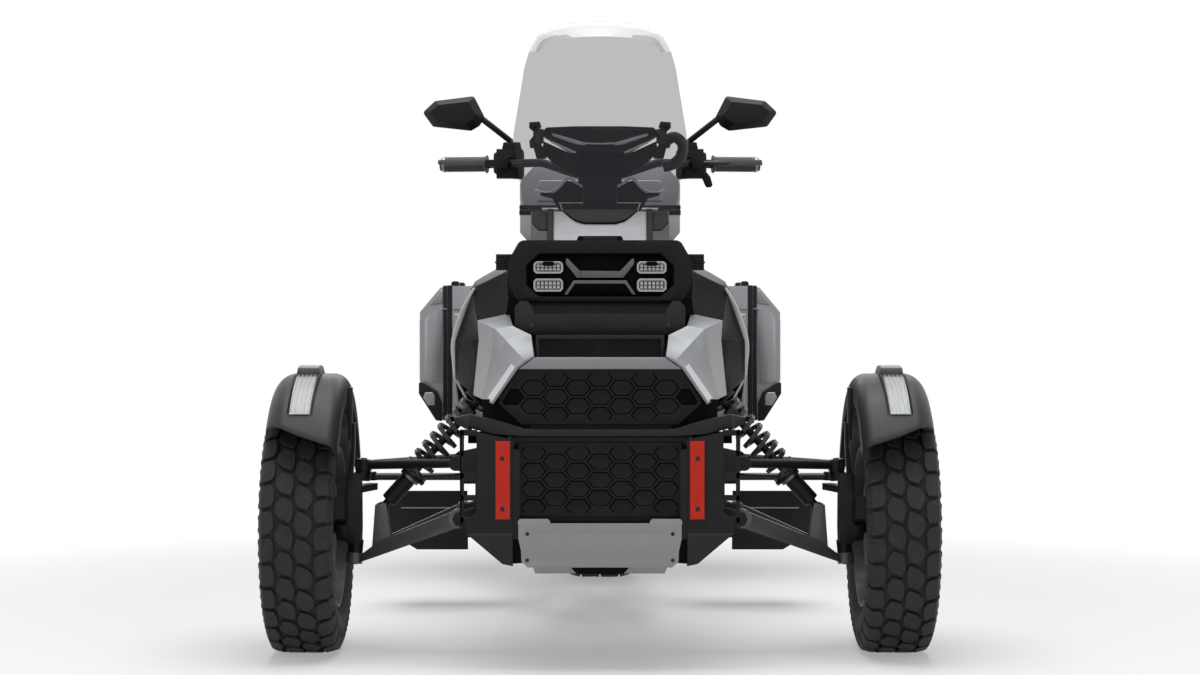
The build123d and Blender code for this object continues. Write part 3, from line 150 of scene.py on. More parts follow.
print("stage 1: finishes")
finishes = {
    # black polypropylene, injection moulded with a spark-eroded grain: soft sheen that breaks up the light
    "mouldedPlastic": surface("mouldedPolypropylene", "#191A1B", 0.46, 0, (1.6, 0.25, 0.25), (60, "#202122", 0.5),
                              (45, 0.07), 0.14),
    # black ABS with a polished skin: deep, with faint swirl marks and almost no mirror image
    "glossPlastic": surface("polishedAbs", "#161718", 0.3, 0, None, (80, "#1B1C1D", 0.5), (30, 0.05), 0.01),
    # near-black plastic, mostly painted shade: sheets and blocks inside the grilles, round the lamps and behind gaps,
    # where there is only shadow; also a few truly black parts; takes almost no highlight
    "shadowPlastic": surface("mattBlackAndPaintedShade", "#090A0B", 0.5, 0, (1.8, 0.2, 0.2), (50, "#0E0F10", 0.5),
                             (30, 0.05), 0.05),
    # dark grey satin plastic of the fenders and the beams; on the plates' folded ends its lighter grey is painted
    # highlight
    "darkGreyPlastic": surface("satinDarkGreyPlastic", "#272829", 0.42, 0, (1.6, 0.22, 0.2), (60, "#2E2F30", 0.5),
                               (40, 0.06), 0.2),
    # mid-grey satin plastic of caps and trims, and of the plate of painted reflection on the slope behind the nose
    "greyPlastic": surface("satinGreyPlastic", "#626467", 0.4, 0.15, (1.6, 0.2, 0.2), (40, "#6C6E71", 0.5),
                           (30, 0.05)),
    # grey metallic basecoat under lacquer: fine flake and a long soft highlight
    "silverPaint": surface("metallicLacquer", "#86888B", 0.42, 0.25, (1.1, 0.06, 0.1), (1.4, "#929497", 0.55),
                           coat=(0.12, 0.2)),
    # satin black powder coat over steel: slight orange peel
    "powderCoat": surface("satinPowderCoat", "#1A1B1C", 0.4, 0, (2.2, 0.22, 0.2), (50, "#222324", 0.5), (25, 0.06),
                          0.18),
    # dark grey enamel of the lower arms, mottled: lighter than the upper arms' black, as painted light for their lit
    # front faces
    "litArmPaint": surface("paintedLitGreyEnamel", "#58595B", 0.42, 0.2, (2.0, 0.2, 0.2), (45, "#626365", 0.5), (25, 0.06)),
    # painted highlight: a lighter copy of the silver lacquer, on chamfered edges and strips, standing for the light
    # they catch
    "highlightSilver": surface("paintedHighlightLacquer", "#C4C6C9", 0.35, 0.3, (1.1, 0.06, 0.1), (1.4, "#D0D2D4", 0.5),
                            coat=(0.1, 0.2)),
    # painted aluminium case panels: even silver-grey with a satin lacquer
    "casePaint": surface("satinCasePaint", "#85878A", 0.4, 0.4, (1.8, 0.08, 0.1), (2.0, "#8E9093", 0.5), (60, 0.05),
                         coat=(0.4, 0.2)),
    # bead-blasted aluminium sheet: pale, matt, with a trace of handling marks
    "blastedAluminium": surface("beadBlastedAluminium", "#8E8F91", 0.46, 0.5, (1.2, 0.2, 0.15),
                                (35, "#86888A", 0.4), (18, 0.05)),
    # sand-cast aluminium under heat-proof paint: coarse dull skin
    "castMetal": surface("paintedCastAluminium", "#3A3B3D", 0.5, 0.35, (2.6, 0.35, 0.4), (40, "#2C2D2E", 0.6),
                         (20, 0.06)),
    # turned and ground steel: bright, with faint marks
    "groundSteel": surface("groundSteel", "#8C8D8F", 0.28, 0.95, (1.0, 0.08, 0.05), (30, "#77787A", 0.5), (12, 0.08)),
    # brushed stainless steel of the exhaust can: soft streaks
    "stainlessSteel": surface("brushedStainlessSteel", "#7D7C7A", 0.32, 0.95, (1.4, 0.12, 0.08),
                              (45, "#6B6560", 0.6), (14, 0.08)),
    # red two-pack enamel on the bumper strips: flat colour with a shine
    "redEnamel": surface("redEnamel", "#DB3525", 0.38, 0, None, (40, "#D02F21", 0.5), (25, 0.05), 0.2),
    # carbon-black tyre tread compound: matt, dusty in the hollows
    "tyreRubber": surface("tyreRubber", "#313131", 0.72, 0, (1.3, 0.35, 0.3), (14, "#3B3B3B", 0.7), (20, 0.08), 0.25),
    # moulded nitrile of the belt, the strap, the foot ribs and the seats' piping
    "softRubber": surface("nitrileRubber", "#1A1A1B", 0.6, 0, (1.5, 0.3, 0.2), (20, "#232324", 0.6)),
    # grey ribbed rubber of the handlebar grips
    "gripRubber": surface("greyGripRubber", "#48494B", 0.55, 0, (1.5, 0.3, 0.2), (20, "#525355", 0.6)),
    # plated spring wire and fixings: dark and smooth
    "springSteel": surface("coatedSpringSteel", "#202122", 0.28, 0.3, (1.2, 0.08, 0.1), (30, "#2C2D2E", 0.5)),
    # zinc-plated bolts: dull silver
    "zincPlate": surface("zincPlatedSteel", "#6F7072", 0.36, 0.9, (0.8, 0.12, 0.05), (5, "#5C5D5F", 0.5)),
    # silvered glass of the mirrors
    "silveredGlass": surface("silveredGlass", "#D4D6D8", 0.03, 1.0, None, (90, "#CBCDCF", 0.4)),
    # clear polycarbonate with a light grey tint: the screen reads as a pale film without glare
    "tintedPolycarbonate": glassSheet("tintedPolycarbonate", "#35373A", 0.3, 0.05, 1.45, **{"Specular IOR Level": 0.0}),
    # moulded clear acrylic lenses
    "clearAcrylic": glassSheet("clearAcrylic", "#DADCDD", 0.14, 0.06, 1.49, **{"Specular IOR Level": 0.0}),
    # red moulded acrylic of the tail lamp
    "redAcrylic": glassSheet("redAcrylic", "#A3140F", 0.92, 0.1, 1.49, **{"Coat Weight": 0.5}),
    # black grained vinyl over foam
    "seatVinyl": surface("grainedVinyl", "#1B1B1C", 0.5, 0, (3.0, 0.5, 0.4), (35, "#242425", 0.5), (30, 0.06), 0.15),
    # aluminised reflector behind clear lenses: bright and smooth
    "lampSilver": surface("aluminisedReflector", "#D9DBDC", 0.35, 0.2, None, (40, "#CFD1D3", 0.5)),
    # the same behind the fender lamps' ribs, duller
    "ribbedReflector": surface("ribbedReflector", "#ABADAF", 0.4, 0.2, None, (40, "#9FA1A3", 0.5)),
    # painted highlight: the sheet's rolled edge is drawn paler and less clear, for the light it catches
    "paintedHighlightPolycarbonate": glassSheet("paintedHighlightPolycarbonate", "#E4E6E8", 0.55, 0.12),
}

finishOfSlot = {
    "moulded_black": "mouldedPlastic", "gloss_black": "glossPlastic", "silver_paint": "silverPaint",
    "dark_metal": "powderCoat", "case_grey": "casePaint", "skid_aluminium": "blastedAluminium",
    "engine_metal": "castMetal", "bare_steel": "groundSteel", "red_paint": "redEnamel", "tyre_rubber": "tyreRubber",
    "soft_rubber": "softRubber", "seat_vinyl": "seatVinyl", "clear_screen": "tintedPolycarbonate",
    "clear_lamp": "clearAcrylic", "red_lamp": "redAcrylic", "mirror_glass": "silveredGlass",
}
finishOfNode = {"springs": "springSteel", "exhaust": "stainlessSteel", "dampers": "powderCoat",
                "tie_rods": "springSteel", "lower_arms": "litArmPaint"}
for part in frame["record"]["subparts"]:
    name = part["node"]
    finishOfNode.setdefault(name, finishOfSlot[part["material_slot"]])
    nodes[name].data.materials.clear()
    nodes[name].data.materials.append(finishes[finishOfNode[name]])


def newPiece(name, mesh, finish, body):
    piece = bpy.data.objects.new(name, mesh)
    bpy.context.scene.collection.objects.link(piece)
    mesh.materials.clear()
    mesh.materials.append(finishes[finish])
    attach(piece, body)
    return piece


def formOf(mesh):
    form = bmesh.new()
    form.from_mesh(mesh)
    return form


def written(form, mesh):
    form.to_mesh(mesh)
    form.free()
    return mesh


def meshOf(part, name="form", smooth=None, centre=(0, 0, 0)):
    # part is (points, faces) in millimetres, and centre is in metres
    points, faces = part
    mesh = bpy.data.meshes.new(name)
    mesh.from_pydata([Vector((x * mm, y * mm, z * mm)) + Vector(centre) for x, y, z in points], [], faces)
    form = formOf(mesh)
    bmesh.ops.remove_doubles(form, verts=form.verts, dist=1e-6)
    bmesh.ops.recalc_face_normals(form, faces=form.faces)
    written(form, mesh)
    if smooth is not None:
        smoothEdges(mesh, smooth)
    return mesh


def smoothEdges(mesh, angle):
    # faces are smooth, and edges sharper than the angle stay crisp
    form = formOf(mesh)
    for face in form.faces:
        face.smooth = True
    for edge in form.edges:
        edge.smooth = len(edge.link_faces) == 2 and edge.calc_face_angle(0) < math.radians(angle)
    written(form, mesh)


def loft(sections, caps=True):
    # sections are closed rings of the same number of points
    count = len(sections[0])
    points = [p for ring in sections for p in ring]
    faces = []
    for i in range(len(sections) - 1):
        for k in range(count):
            m = (k + 1) % count
            faces.append((i * count + k, i * count + m, (i + 1) * count + m, (i + 1) * count + k))
    if caps:
        faces.append(tuple(range(count))[::-1])
        faces.append(tuple(range(len(points) - count, len(points))))
    return points, faces


def joined(parts):
    points, faces = [], []
    for p, f in parts:
        shift = len(points)
        points += [tuple(v) for v in p]
        faces += [tuple(i + shift for i in face) for face in f]
    return points, faces


def flipX(part):
    points, faces = part
    return [(-x, y, z) for x, y, z in points], [f[::-1] for f in faces]


def circle(radius, count):
    return [(radius * math.cos(t), radius * math.sin(t)) for t in (2 * math.pi * k / count for k in range(count))]


def lathe(profile, start, along, count=28):
    # profile is (distance along, radius), turned about the line from start
    axis = Vector(along).normalized()
    turn = axis.to_track_quat("Z", "Y")
    return loft([[Vector(start) + axis * reach + turn @ Vector((x, y, 0)) for x, y in circle(r, count)]
                 for reach, r in profile])


def cylinder(start, end, radius, count=20):
    along = Vector(end) - Vector(start)
    return lathe([(0, radius), (along.length, radius)], start, along, count)


def slab(outline, y0, y1):
    # an (x, z) outline between two depths
    return loft([[(x, y, z) for x, z in outline] for y in (y0, y1)])


def plate(x0, x1, z0, z1, y0, y1, taper=0):
    # a rectangle between two depths, drawn in at the top by the taper
    return slab([(x0, z0), (x1, z0), (x1 - taper, z1), (x0 + taper, z1)], y0, y1)


def mirrored(half):
    # a whole outline from the half on one side of the middle
    return half + [(-x, z) for x, z in reversed(half)]


def sideSlab(outline, x0, x1):
    # a (y, z) outline between two widths
    return loft([[(x, y, z) for y, z in outline] for x in (x0, x1)])


def holding(mesh, name="shaping"):
    holder = bpy.data.objects.new(name, mesh)
    bpy.context.scene.collection.objects.link(holder)
    return holder


def settled(holder):
    # the evaluated shape as a plain mesh, its holder removed
    graph = bpy.context.evaluated_depsgraph_get()
    graph.update()
    mesh = bpy.data.meshes.new_from_object(holder.evaluated_get(graph), preserve_all_data_layers=True,
                                           depsgraph=graph)
    bpy.data.objects.remove(holder)
    return mesh


def bevelled(mesh, width, segments=2, angle=25):
    holder = holding(mesh)
    bevel = holder.modifiers.new("bevel", "BEVEL")
    bevel.width, bevel.segments, bevel.limit_method = width, segments, "ANGLE"
    bevel.angle_limit = math.radians(angle)
    return settled(holder)


def makePiece(name, parts, finish, body="root", bevel=0.0, smooth=30, mirror=False, replaces=()):
    # one part or a list of them, in millimetres; mirror adds the same on the other side
    if isinstance(parts, list):
        parts = joined(parts)
    if mirror:
        parts = joined([parts, flipX(parts)])
    mesh = meshOf(parts, name)
    if bevel:
        mesh = bevelled(mesh, bevel * mm)
    smoothEdges(mesh, smooth)
    mesh.name = name
    piece = newPiece(name, mesh, finish, body)
    if replaces:
        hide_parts(*replaces)


def openTree(name, **sockets):
    tree = bpy.data.node_groups.new(name, "GeometryNodeTree")
    for label, kind in {"Geometry": "Geometry", **sockets}.items():
        tree.interface.new_socket(label, in_out="INPUT", socket_type="NodeSocket" + kind)
    tree.interface.new_socket("Geometry", in_out="OUTPUT", socket_type="NodeSocketGeometry")
    return tree, addNode(tree, "NodeGroupInput").outputs


def closeTree(tree, source, instances):
    plain = addNode(tree, "GeometryNodeRealizeInstances", {"Geometry": instances})
    dressed = addNode(tree, "GeometryNodeSetMaterial", {"Geometry": plain.outputs[0], "Material": source["Material"]})
    addNode(tree, "NodeGroupOutput", {"Geometry": dressed.outputs[0]})
    return tree


def ringTree():
    # turns the given shape round the X axis, Count times, then moves it to Centre
    tree, source = openTree("ringOfCopies", Count="Int", Start="Float", Centre="Vector", Material="Material")
    points = addNode(tree, "GeometryNodePoints", {"Count": source["Count"]})
    index = addNode(tree, "GeometryNodeInputIndex")
    step = maths(tree, "DIVIDE", 2 * math.pi, source["Count"])
    angle = maths(tree, "MULTIPLY_ADD", index.outputs[0], step, source["Start"])
    turn = addNode(tree, "ShaderNodeCombineXYZ", {"X": angle})
    copies = addNode(tree, "GeometryNodeInstanceOnPoints",
                     {"Points": points.outputs[0], "Instance": source["Geometry"], "Rotation": turn.outputs[0]})
    moved = addNode(tree, "GeometryNodeTransform", {"Geometry": copies.outputs[0], "Translation": source["Centre"]})
    return closeTree(tree, source, moved.outputs[0])


def scatterTree():
    # puts the Part shape on every vertex of the given mesh, its Z axis along the "aim" attribute
    tree, source = openTree("copiesOnPoints", Part="Object", Size="Float", Material="Material")
    shape = addNode(tree, "GeometryNodeObjectInfo", {"Object": source["Part"]})
    aim = addNode(tree, "GeometryNodeInputNamedAttribute", {"Name": "aim"}, data_type="FLOAT_VECTOR")
    turn = addNode(tree, "FunctionNodeAlignRotationToVector", {"Vector": aim.outputs["Attribute"]}, axis="Z")
    points = addNode(tree, "GeometryNodeMeshToPoints", {"Mesh": source["Geometry"]})
    copies = addNode(tree, "GeometryNodeInstanceOnPoints",
                     {"Points": points.outputs[0], "Instance": shape.outputs["Geometry"],
                      "Rotation": turn.outputs[0], "Scale": source["Size"]})
    return closeTree(tree, source, copies.outputs[0])


def grown(mesh, tree, values):
    # runs a tree on a mesh and returns the plain mesh; inputs are set by their sockets' identifiers
    holder = holding(mesh)
    modifier = holder.modifiers.new("nodes", "NODES")
    modifier.node_group = tree
    sockets = {s.name: s.identifier for s in tree.interface.items_tree if s.in_out == "INPUT"}
    for label, value in values.items():
        modifier[sockets[label]] = value
    holder.update_tag()
    return settled(holder)


ringCopies = ringTree()
scatterCopies = scatterTree()

print("stage 2: tyres")
frontTyre = {"radius": 298, "width": 170, "rimRadius": 190.5, "cells": 30, "blockDepth": 9, "x": 695, "y": -940,
             "crown": 45, "shoulder": 75}
rearTyre = {"radius": 303, "width": 225, "rimRadius": 190.5, "cells": 30, "blockDepth": 8, "x": 0, "y": 780,
            "crown": 53, "shoulder": 88}
carcassSides = 96


def between(stops, at):
    # the value at a place on a run of (place, value) stops, and the last value beyond them
    for (x0, v0), (x1, v1) in zip(stops, stops[1:]):
        if min(x0, x1) <= at <= max(x0, x1):
            return v0 + (v1 - v0) * (at - x0) / (x1 - x0)
    return stops[-1][1]


def treadCell(t):
    # one pitch of the tread: stations (x, low and high end along the tread)
    r, depth, shoulder = t["radius"], t["blockDepth"], t["shoulder"]
    pitch = 2 * math.pi * r / t["cells"]
    edge = t["width"] / 2 - 1
    k = t["width"] / frontTyre["width"]
    crown = [(0, r), (t["crown"] * 0.8, r), (t["crown"] * 1.25, r - 1.2), (shoulder, r - 7),
             (edge - 3, r - 20), (edge, r - 34), (edge + 1, r - 60)]
    middle = [(-42 * k, -12, 6), (-31 * k, -31, 20), (-20 * k, -28, 24), (-9 * k, -24, 29), (-2 * k, -8, 14)]
    outer = [(-46 * k, -14, 10), (-52 * k, -30, 21), (-shoulder * 0.86, -28, 25), (-shoulder, -27, 26),
             (-(edge - 3), -25, 24), (-edge, -21, 20)]
    blocks = []
    for stations, shift in ((middle, 0), (outer, pitch * 0.5)):
        for flip, lift in ((1, shift), (-1, shift + pitch / 2)):
            rings = []
            for x, low, high in stations:
                row = []
                for s, sunk in ((low, depth), (low, 0), (high, 0), (high, depth)):
                    angle = (flip * s + lift) / r
                    reach = between(crown, -x) - sunk
                    row.append((flip * x, reach * math.cos(angle), reach * math.sin(angle)))
                rings.append(row)
            blocks.append(loft(rings))
    return joined(blocks)


def carcass(t):
    half, r, rim = t["width"] / 2, t["radius"], t["rimRadius"]
    floor = r - t["blockDepth"]
    bead, wall = half - 19, (r + rim) / 2
    profile = [(-bead, rim + 0.5), (-bead - 6, rim + 8), (-half + 5, rim + 24), (-half + 1, wall - 12),
               (-half + 0.6, wall + 4), (-half + 3, wall + 12), (-half + 3, r - 40), (-half + 6, r - 34),
               (-t["shoulder"], floor - 7), (-t["crown"], floor - 1)]
    profile += [(-x, a) for x, a in reversed(profile)]
    rings = [[(x, a * c, a * s) for x, a in profile] for c, s in circle(1, carcassSides)]
    return loft(rings + rings[:1], caps=False)


def sideLug(t):
    # a raised bar on each shoulder of the sidewall
    half, r = t["width"] / 2, t["radius"]
    return joined([loft([[(side * (half - 4), radius, -6), (side * half, radius, -5), (side * half, radius, 5),
                          (side * (half - 4), radius, 6)] for radius in (r - 34, r - 58)]) for side in (-1, 1)])


def makeTyre(name, t, x, body, node):
    centre = Vector((x * mm, t["y"] * mm, t["radius"] * mm))
    values = {"Centre": centre, "Material": finishes["tyreRubber"]}
    cell = bevelled(meshOf(treadCell(t)), 1.2 * mm, 1, 35)
    form = formOf(meshOf(carcass(t), smooth=50, centre=centre))
    form.from_mesh(grown(cell, ringCopies, {"Count": t["cells"], "Start": 0.0, **values}))
    form.from_mesh(grown(meshOf(sideLug(t)), ringCopies, {"Count": t["cells"] * 2, "Start": 0.05, **values}))
    tyre = newPiece(name, written(form, bpy.data.meshes.new(name)), "tyreRubber", body)
    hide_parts(node)


for side, sign in sides:
    makeTyre("frontTyre_" + side, frontTyre, sign * frontTyre["x"], "wheel_" + side, "front_tyre_" + side)
makeTyre("rearTyre", rearTyre, rearTyre["x"], "wheel_rear", "rear_tyre")

# the panels' edges are rounded a little, by an edge radius in mm
print("stage 3: rounded edges on the CAD panels")
softEdges = {
    "cowls": 2.0, "nose_bar": 3.0, "shoulders": 3.0, "headlight_housing": 4.0, "cross_beams": 4.0,
    "accent_strips": 0.8, "upper_grille": 1.2, "lower_grille": 1.2, "fairing": 5.0, "dash": 3.0, "tank_cover": 5.0,
    "side_covers": 3.0, "swingarm": 3.0, "engine": 8.0, "tail_lamp": 2.0, "top_case_base": 4.0, "top_case_lid": 5.0,
    "pannier_body_left": 4.0, "pannier_body_right": 4.0, "pannier_lid_left": 4.0, "pannier_lid_right": 4.0,
    "lower_arms": 1.5,
}
# turned, bent and cast pieces: smooth shading over merged facets, and a slight edge where they have flat sides
roundPieces = {
    "front_rim_left": 0.8, "front_rim_right": 0.8, "rear_rim": 0.8, "knuckle_left": 0.8, "knuckle_right": 0.8,
    "frame": 0.8, "bulkhead": 0.8, "upper_arms": 0.6, "skid_plate": 0.7, "exhaust": 0.0, "rear_fender": 1.0,
    "handlebar": 0.6, "mirrors": 1.6, "windscreen": 0.0, "springs": 0.0, "dampers": 0.5, "tie_rods": 0.0,
    "rear_rack": 0.8, "drive_belt": 0.6, "radiator": 0.8,
}
shellFinish = {**finishOfNode, "headlight_housing": "mouldedPlastic", "cross_beams": "darkGreyPlastic"}
topCase = {"front": 880, "back": 1296, "half": 248}


def mergedForm(node):
    # the node's solid with its flat facets joined
    form = formOf(nodes[node].data)
    bmesh.ops.remove_doubles(form, verts=form.verts, dist=0.02 * mm)
    bmesh.ops.dissolve_limit(form, angle_limit=math.radians(1.5), verts=form.verts, edges=form.edges)
    return form


def shellOf(form, name, finish, body, width, angle):
    mesh = written(form, bpy.data.meshes.new(name))
    if width:
        mesh = bevelled(mesh, width * mm, 2, angle)
    smoothEdges(mesh, angle + 2)
    return newPiece(name, mesh, finish, body)


def makeShell(node, width, angle):
    form = mergedForm(node)
    if node.startswith("top_case"):
        # the back is drawn in a little, so that the latch on it stays within the case's length
        for vert in form.verts:
            vert.co.y = min(vert.co.y, topCase["back"] * mm)
    first, *rest = node.split("_")
    name = first + "".join(word.capitalize() for word in rest) + "Shell"
    piece = shellOf(form, name, shellFinish[node], nodes[node]["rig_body"], width, angle)
    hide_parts(node)


for node, width in softEdges.items():
    makeShell(node, width, 22)
print("stage 3: smooth skins on the round pieces")
for node, width in roundPieces.items():
    makeShell(node, width, 32)

print("stage 4: fenders and lamps")
fender = {"radius": 366, "innerX": 598, "outerX": 768, "y": -940, "z": 298, "backAngle": 20, "wall": 4,
          "outerRound": 50, "innerRound": 36, "skirt": 58, "frontInner": 145, "frontOuter": 133,
          "capFrom": 86, "capTo": 101, "capHigh": 24, "lampLow": 131, "lampHigh": 103, "lampX": (662, 713)}


def aroundWheel(x, r, degrees):
    angle = math.radians(degrees)
    return (x, fender["y"] + r * math.cos(angle), fender["z"] + r * math.sin(angle))


def fenderProfile(f):
    # (width, radius) points of the outer skin, from the inner skirt to the outer one
    r, a, b = f["radius"], f["innerX"], f["outerX"]
    ro, ri = f["outerRound"], f["innerRound"]
    points = [(a, r - f["skirt"] - 4), (a, r - ri - 6)]
    for t in (math.pi / 2 * k / 8 for k in range(1, 8)):
        points.append((a + ri - ri * math.cos(t), r - ri + ri * math.sin(t)))
    points += [(a + ri, r - 0.6), ((a + b) / 2, r), (b - ro, r - 0.6)]
    for t in (math.pi / 2 * k / 9 for k in range(1, 9)):
        points.append((b - ro + ro * math.sin(t), r - ro + ro * math.cos(t)))
    return points + [(b, r - f["skirt"])]


def makeFender(side, sign, f):
    outer = fenderProfile(f)
    inner = []
    for (x0, r0), (x, r), (x1, r1) in zip(outer[:1] + outer, outer, outer[1:] + outer[-1:]):
        length = math.hypot(x1 - x0, r1 - r0)
        inner.append((x + (r1 - r0) / length * f["wall"], r - (x1 - x0) / length * f["wall"]))
    steps, span = 40, f["outerX"] - f["innerX"]
    sections = []
    for k in range(steps + 1):
        row = []
        for x, r in outer + inner[::-1]:
            share = min(max((x - f["innerX"]) / span, 0), 1)
            front = f["frontInner"] + (f["frontOuter"] - f["frontInner"]) * share ** 1.6
            row.append(aroundWheel(sign * x, r, f["backAngle"] + (front - f["backAngle"]) * k / steps))
        sections.append(row)
    # raised cap above the lamp, lower behind, and the stay down to the knuckle
    low, cap = f["radius"] - 3, []
    for k in range(6):
        top = low + f["capHigh"] * (1 - 0.16 * max(3 - k, 0) / 3)
        degrees = f["capFrom"] + (f["capTo"] - f["capFrom"]) * k / 5
        cap.append([aroundWheel(sign * x, r, degrees) for x, r in ((656, low), (716, low), (711, top), (662, top))])
    makePiece("fenderCap_" + side, loft(cap), "greyPlastic", "knuckle_" + side, bevel=1.5)
    y, x = f["y"], f["innerX"]
    stay = sideSlab([(y - 12, 506), (y + 12, 506), (y + 18, 630), (y - 18, 630)], sign * (x - 8), sign * (x + 1))
    makePiece("fenderShell_" + side, [loft(sections), stay], "darkGreyPlastic", "knuckle_" + side, bevel=1.2,
              smooth=35, replaces=["fender_" + side])


def makeFenderLamp(side, sign, f):
    # dark surround, pale reflector and a clear lens with upright ribs
    (x0, x1), r = f["lampX"], f["radius"]
    rows, ribs = 14, 5

    def strip(a, b, r0, r1, taper=3.0):
        rings = []
        for t in (k / rows for k in range(rows + 1)):
            degrees = f["lampHigh"] + (f["lampLow"] - f["lampHigh"]) * t
            low, high = a + taper * t, b - taper * t
            rings.append([aroundWheel(sign * x, reach, degrees)
                          for x, reach in ((low, r0), (high, r0), (high, r1), (low, r1))])
        return loft(rings)

    surround = [strip(x0 - 5, x0 + 1, r - 3, r + 9.5), strip(x1 - 1, x1 + 5, r - 3, r + 9.5)]
    makePiece("lampSurround_" + side, surround, "mouldedPlastic", "knuckle_" + side, bevel=0.8)
    makePiece("lampReflector_" + side, strip(x0, x1, r - 2, r + 2.5), "ribbedReflector", "knuckle_" + side)
    lens = [strip(x0 + 1, x1 - 1, r + 2.6, r + 6)]
    for i in range(ribs):
        middle = x0 + 6 + (x1 - x0 - 12) * i / (ribs - 1)
        lens.append(strip(middle - 2.8, middle + 2.8, r + 5, r + 9.2, 2.2))
    makePiece("fenderLamp_" + side, lens, "clearAcrylic", "knuckle_" + side, bevel=0.9,
              replaces=["fender_lamp_" + side])


for side, sign in sides:
    makeFender(side, sign, fender)
    makeFenderLamp(side, sign, fender)


print("stage 5: headlight")
headlight = {"frontY": -1100, "recess": 26, "lensX": (86, 154), "lensZ": ((899, 927), (857, 887)), "columns": 6}


def makeHeadlight(h):
    y, (x0, x1) = h["frontY"], h["lensX"]
    silver, glass, dark = [], [], []
    border = 6        # between a lens's edge and its bright blocks

    def roundedBox(grow, z0, z1, cut):
        a, b, c, d = x0 - grow, x1 + grow, z0 - grow, z1 + grow
        return [(a + cut, c), (b - cut, c), (b, c + cut), (b, d - cut), (b - cut, d), (a + cut, d), (a, d - cut),
                (a, c + cut)]

    wide = (x1 - x0 - 2 * border) / h["columns"]
    for z0, z1 in h["lensZ"]:
        # a bright frame round a dark tray with two rows of bright blocks
        silver.append(loft([[(x, y + depth, z) for x, z in roundedBox(grow, z0, z1, cut)] for grow, depth, cut in
                            ((0, 20, 6), (0, 5, 6), (-3.4, 5, 4.5), (-4.4, 13, 4))], caps=False))
        dark.append(slab(roundedBox(-3, z0, z1, 4), y + 13, y + 15))
        glass.append(slab(roundedBox(-1, z0, z1, 5), y + 2.5, y + 4.5))
        high = (z1 - z0 - 2 * border) / 2
        for a in (x0 + border + wide * i for i in range(h["columns"])):
            for c in (z0 + border, z0 + border + high):
                silver.append(plate(a + 1.3, a + wide - 1.3, c + 1.2, c + high - 1.2, y + 8, y + 13.5, 1))
    top = h["lensZ"][0][1]
    dark.append(slab([(104, top - 8), (109, top - 0.5), (131, top - 0.5), (136, top - 8), (128, top - 11),
                      (112, top - 11)], y + 1.5, y + 4))
    makePiece("headlightReflectors", silver, "lampSilver", smooth=25, mirror=True)
    makePiece("headlightLenses", glass, "clearAcrylic", bevel=0.8, mirror=True, replaces=["headlight_lenses"])
    makePiece("lensTrays", dark, "shadowPlastic", bevel=0.5, mirror=True)


makeHeadlight(headlight)

print("stage 6: grilles, bumper and nose")
grille = {"lowY": -1268, "pitchX": 50, "pitchZ": 41, "wide": 58, "high": 34.5, "depth": 5.0}


def tubeAlong(points, radius, count=16, closed=False):
    # a round bar through the points, its sections square to the path; a list gives each point its radius
    path = [Vector(p) for p in points]
    last = len(path) - 1
    up = Vector((0.13, 0.21, 1)).normalized()
    rings = []
    for i, at in enumerate(path):
        if closed:
            ahead = path[(i + 1) % len(path)] - path[i - 1]
        else:
            ahead = path[min(i + 1, last)] - path[max(i - 1, 0)]
        ahead.normalize()
        across = ahead.cross(up).normalized()
        rise = across.cross(ahead).normalized()
        r = radius[i] if isinstance(radius, list) else radius
        rings.append([at + across * x + rise * y for x, y in circle(r, count)])
    if closed:
        rings.append(rings[0])
    return loft(rings, caps=not closed)


def rounded(points, steps=5):
    # a smooth run through given corners, as a Catmull-Rom curve
    path = [Vector(p) for p in points]
    ends = [path[0] * 2 - path[1]] + path + [path[-1] * 2 - path[-2]]
    run = []
    for a, b, c, d in zip(ends, ends[1:], ends[2:], ends[3:]):
        for t in (k / steps for k in range(steps)):
            run.append(0.5 * ((2 * b) + (c - a) * t + (2 * a - 5 * b + 4 * c - d) * t * t
                              + (3 * b - a - 3 * c + d) * t ** 3))
    return run + [path[-1]]


def spots(name, places, part, finish):
    # copies of a part at places on the front, facing forwards
    points = bpy.data.meshes.new(name + "Places")
    points.from_pydata([(x * mm, y * mm, z * mm) for x, y, z in places], [], [])
    aims = points.attributes.new("aim", "FLOAT_VECTOR", "POINT")
    for aim in aims.data:
        aim.vector = (0, -1, 0)
    shape = holding(meshOf(part, smooth=30), name + "Shape")
    mesh = grown(points, scatterCopies, {"Part": shape, "Size": 1.0, "Material": finishes[finish]})
    bpy.data.objects.remove(shape)
    mesh.name = name
    newPiece(name, mesh, finish, "root")


def socketBolt(radius, height):
    # domed head with a hexagon socket, its seat at the origin, along Z
    facets = 24

    def ring(share, z, socket=False):
        row = []
        for t in (2 * math.pi * k / facets for k in range(facets)):
            at = radius * share / math.cos(t % (math.pi / 3) - math.pi / 6) * 0.9 if socket else radius * share
            row.append((at * math.cos(t), at * math.sin(t), z))
        return row

    return loft([ring(1, -1), ring(1, height * 0.5), ring(0.82, height * 0.9), ring(0.62, height),
                 ring(0.5, height, True), ring(0.5, height * 0.3, True)])


def hexagonCell(wide, high, depth):
    # a filled cell: a dished hexagon with a raised rim, facing along Z
    rings = []
    for share, z in ((1.0, -1.0), (1.0, depth * 0.7), (0.93, depth), (0.78, depth * 0.72)):
        w, h = wide / 2 * share, high / 2 * share
        rings.append([(w, 0, z), (w / 2, h, z), (-w / 2, h, z), (-w, 0, z), (-w / 2, -h, z), (w / 2, -h, z)])
    return loft(rings)


def inside(outline, x, z):
    hit = False
    for (x0, z0), (x1, z1) in zip(outline, outline[1:] + outline[:1]):
        if (z0 > z) != (z1 > z) and x < (x1 - x0) * (z - z0) / (z1 - z0) + x0:
            hit = not hit
    return hit


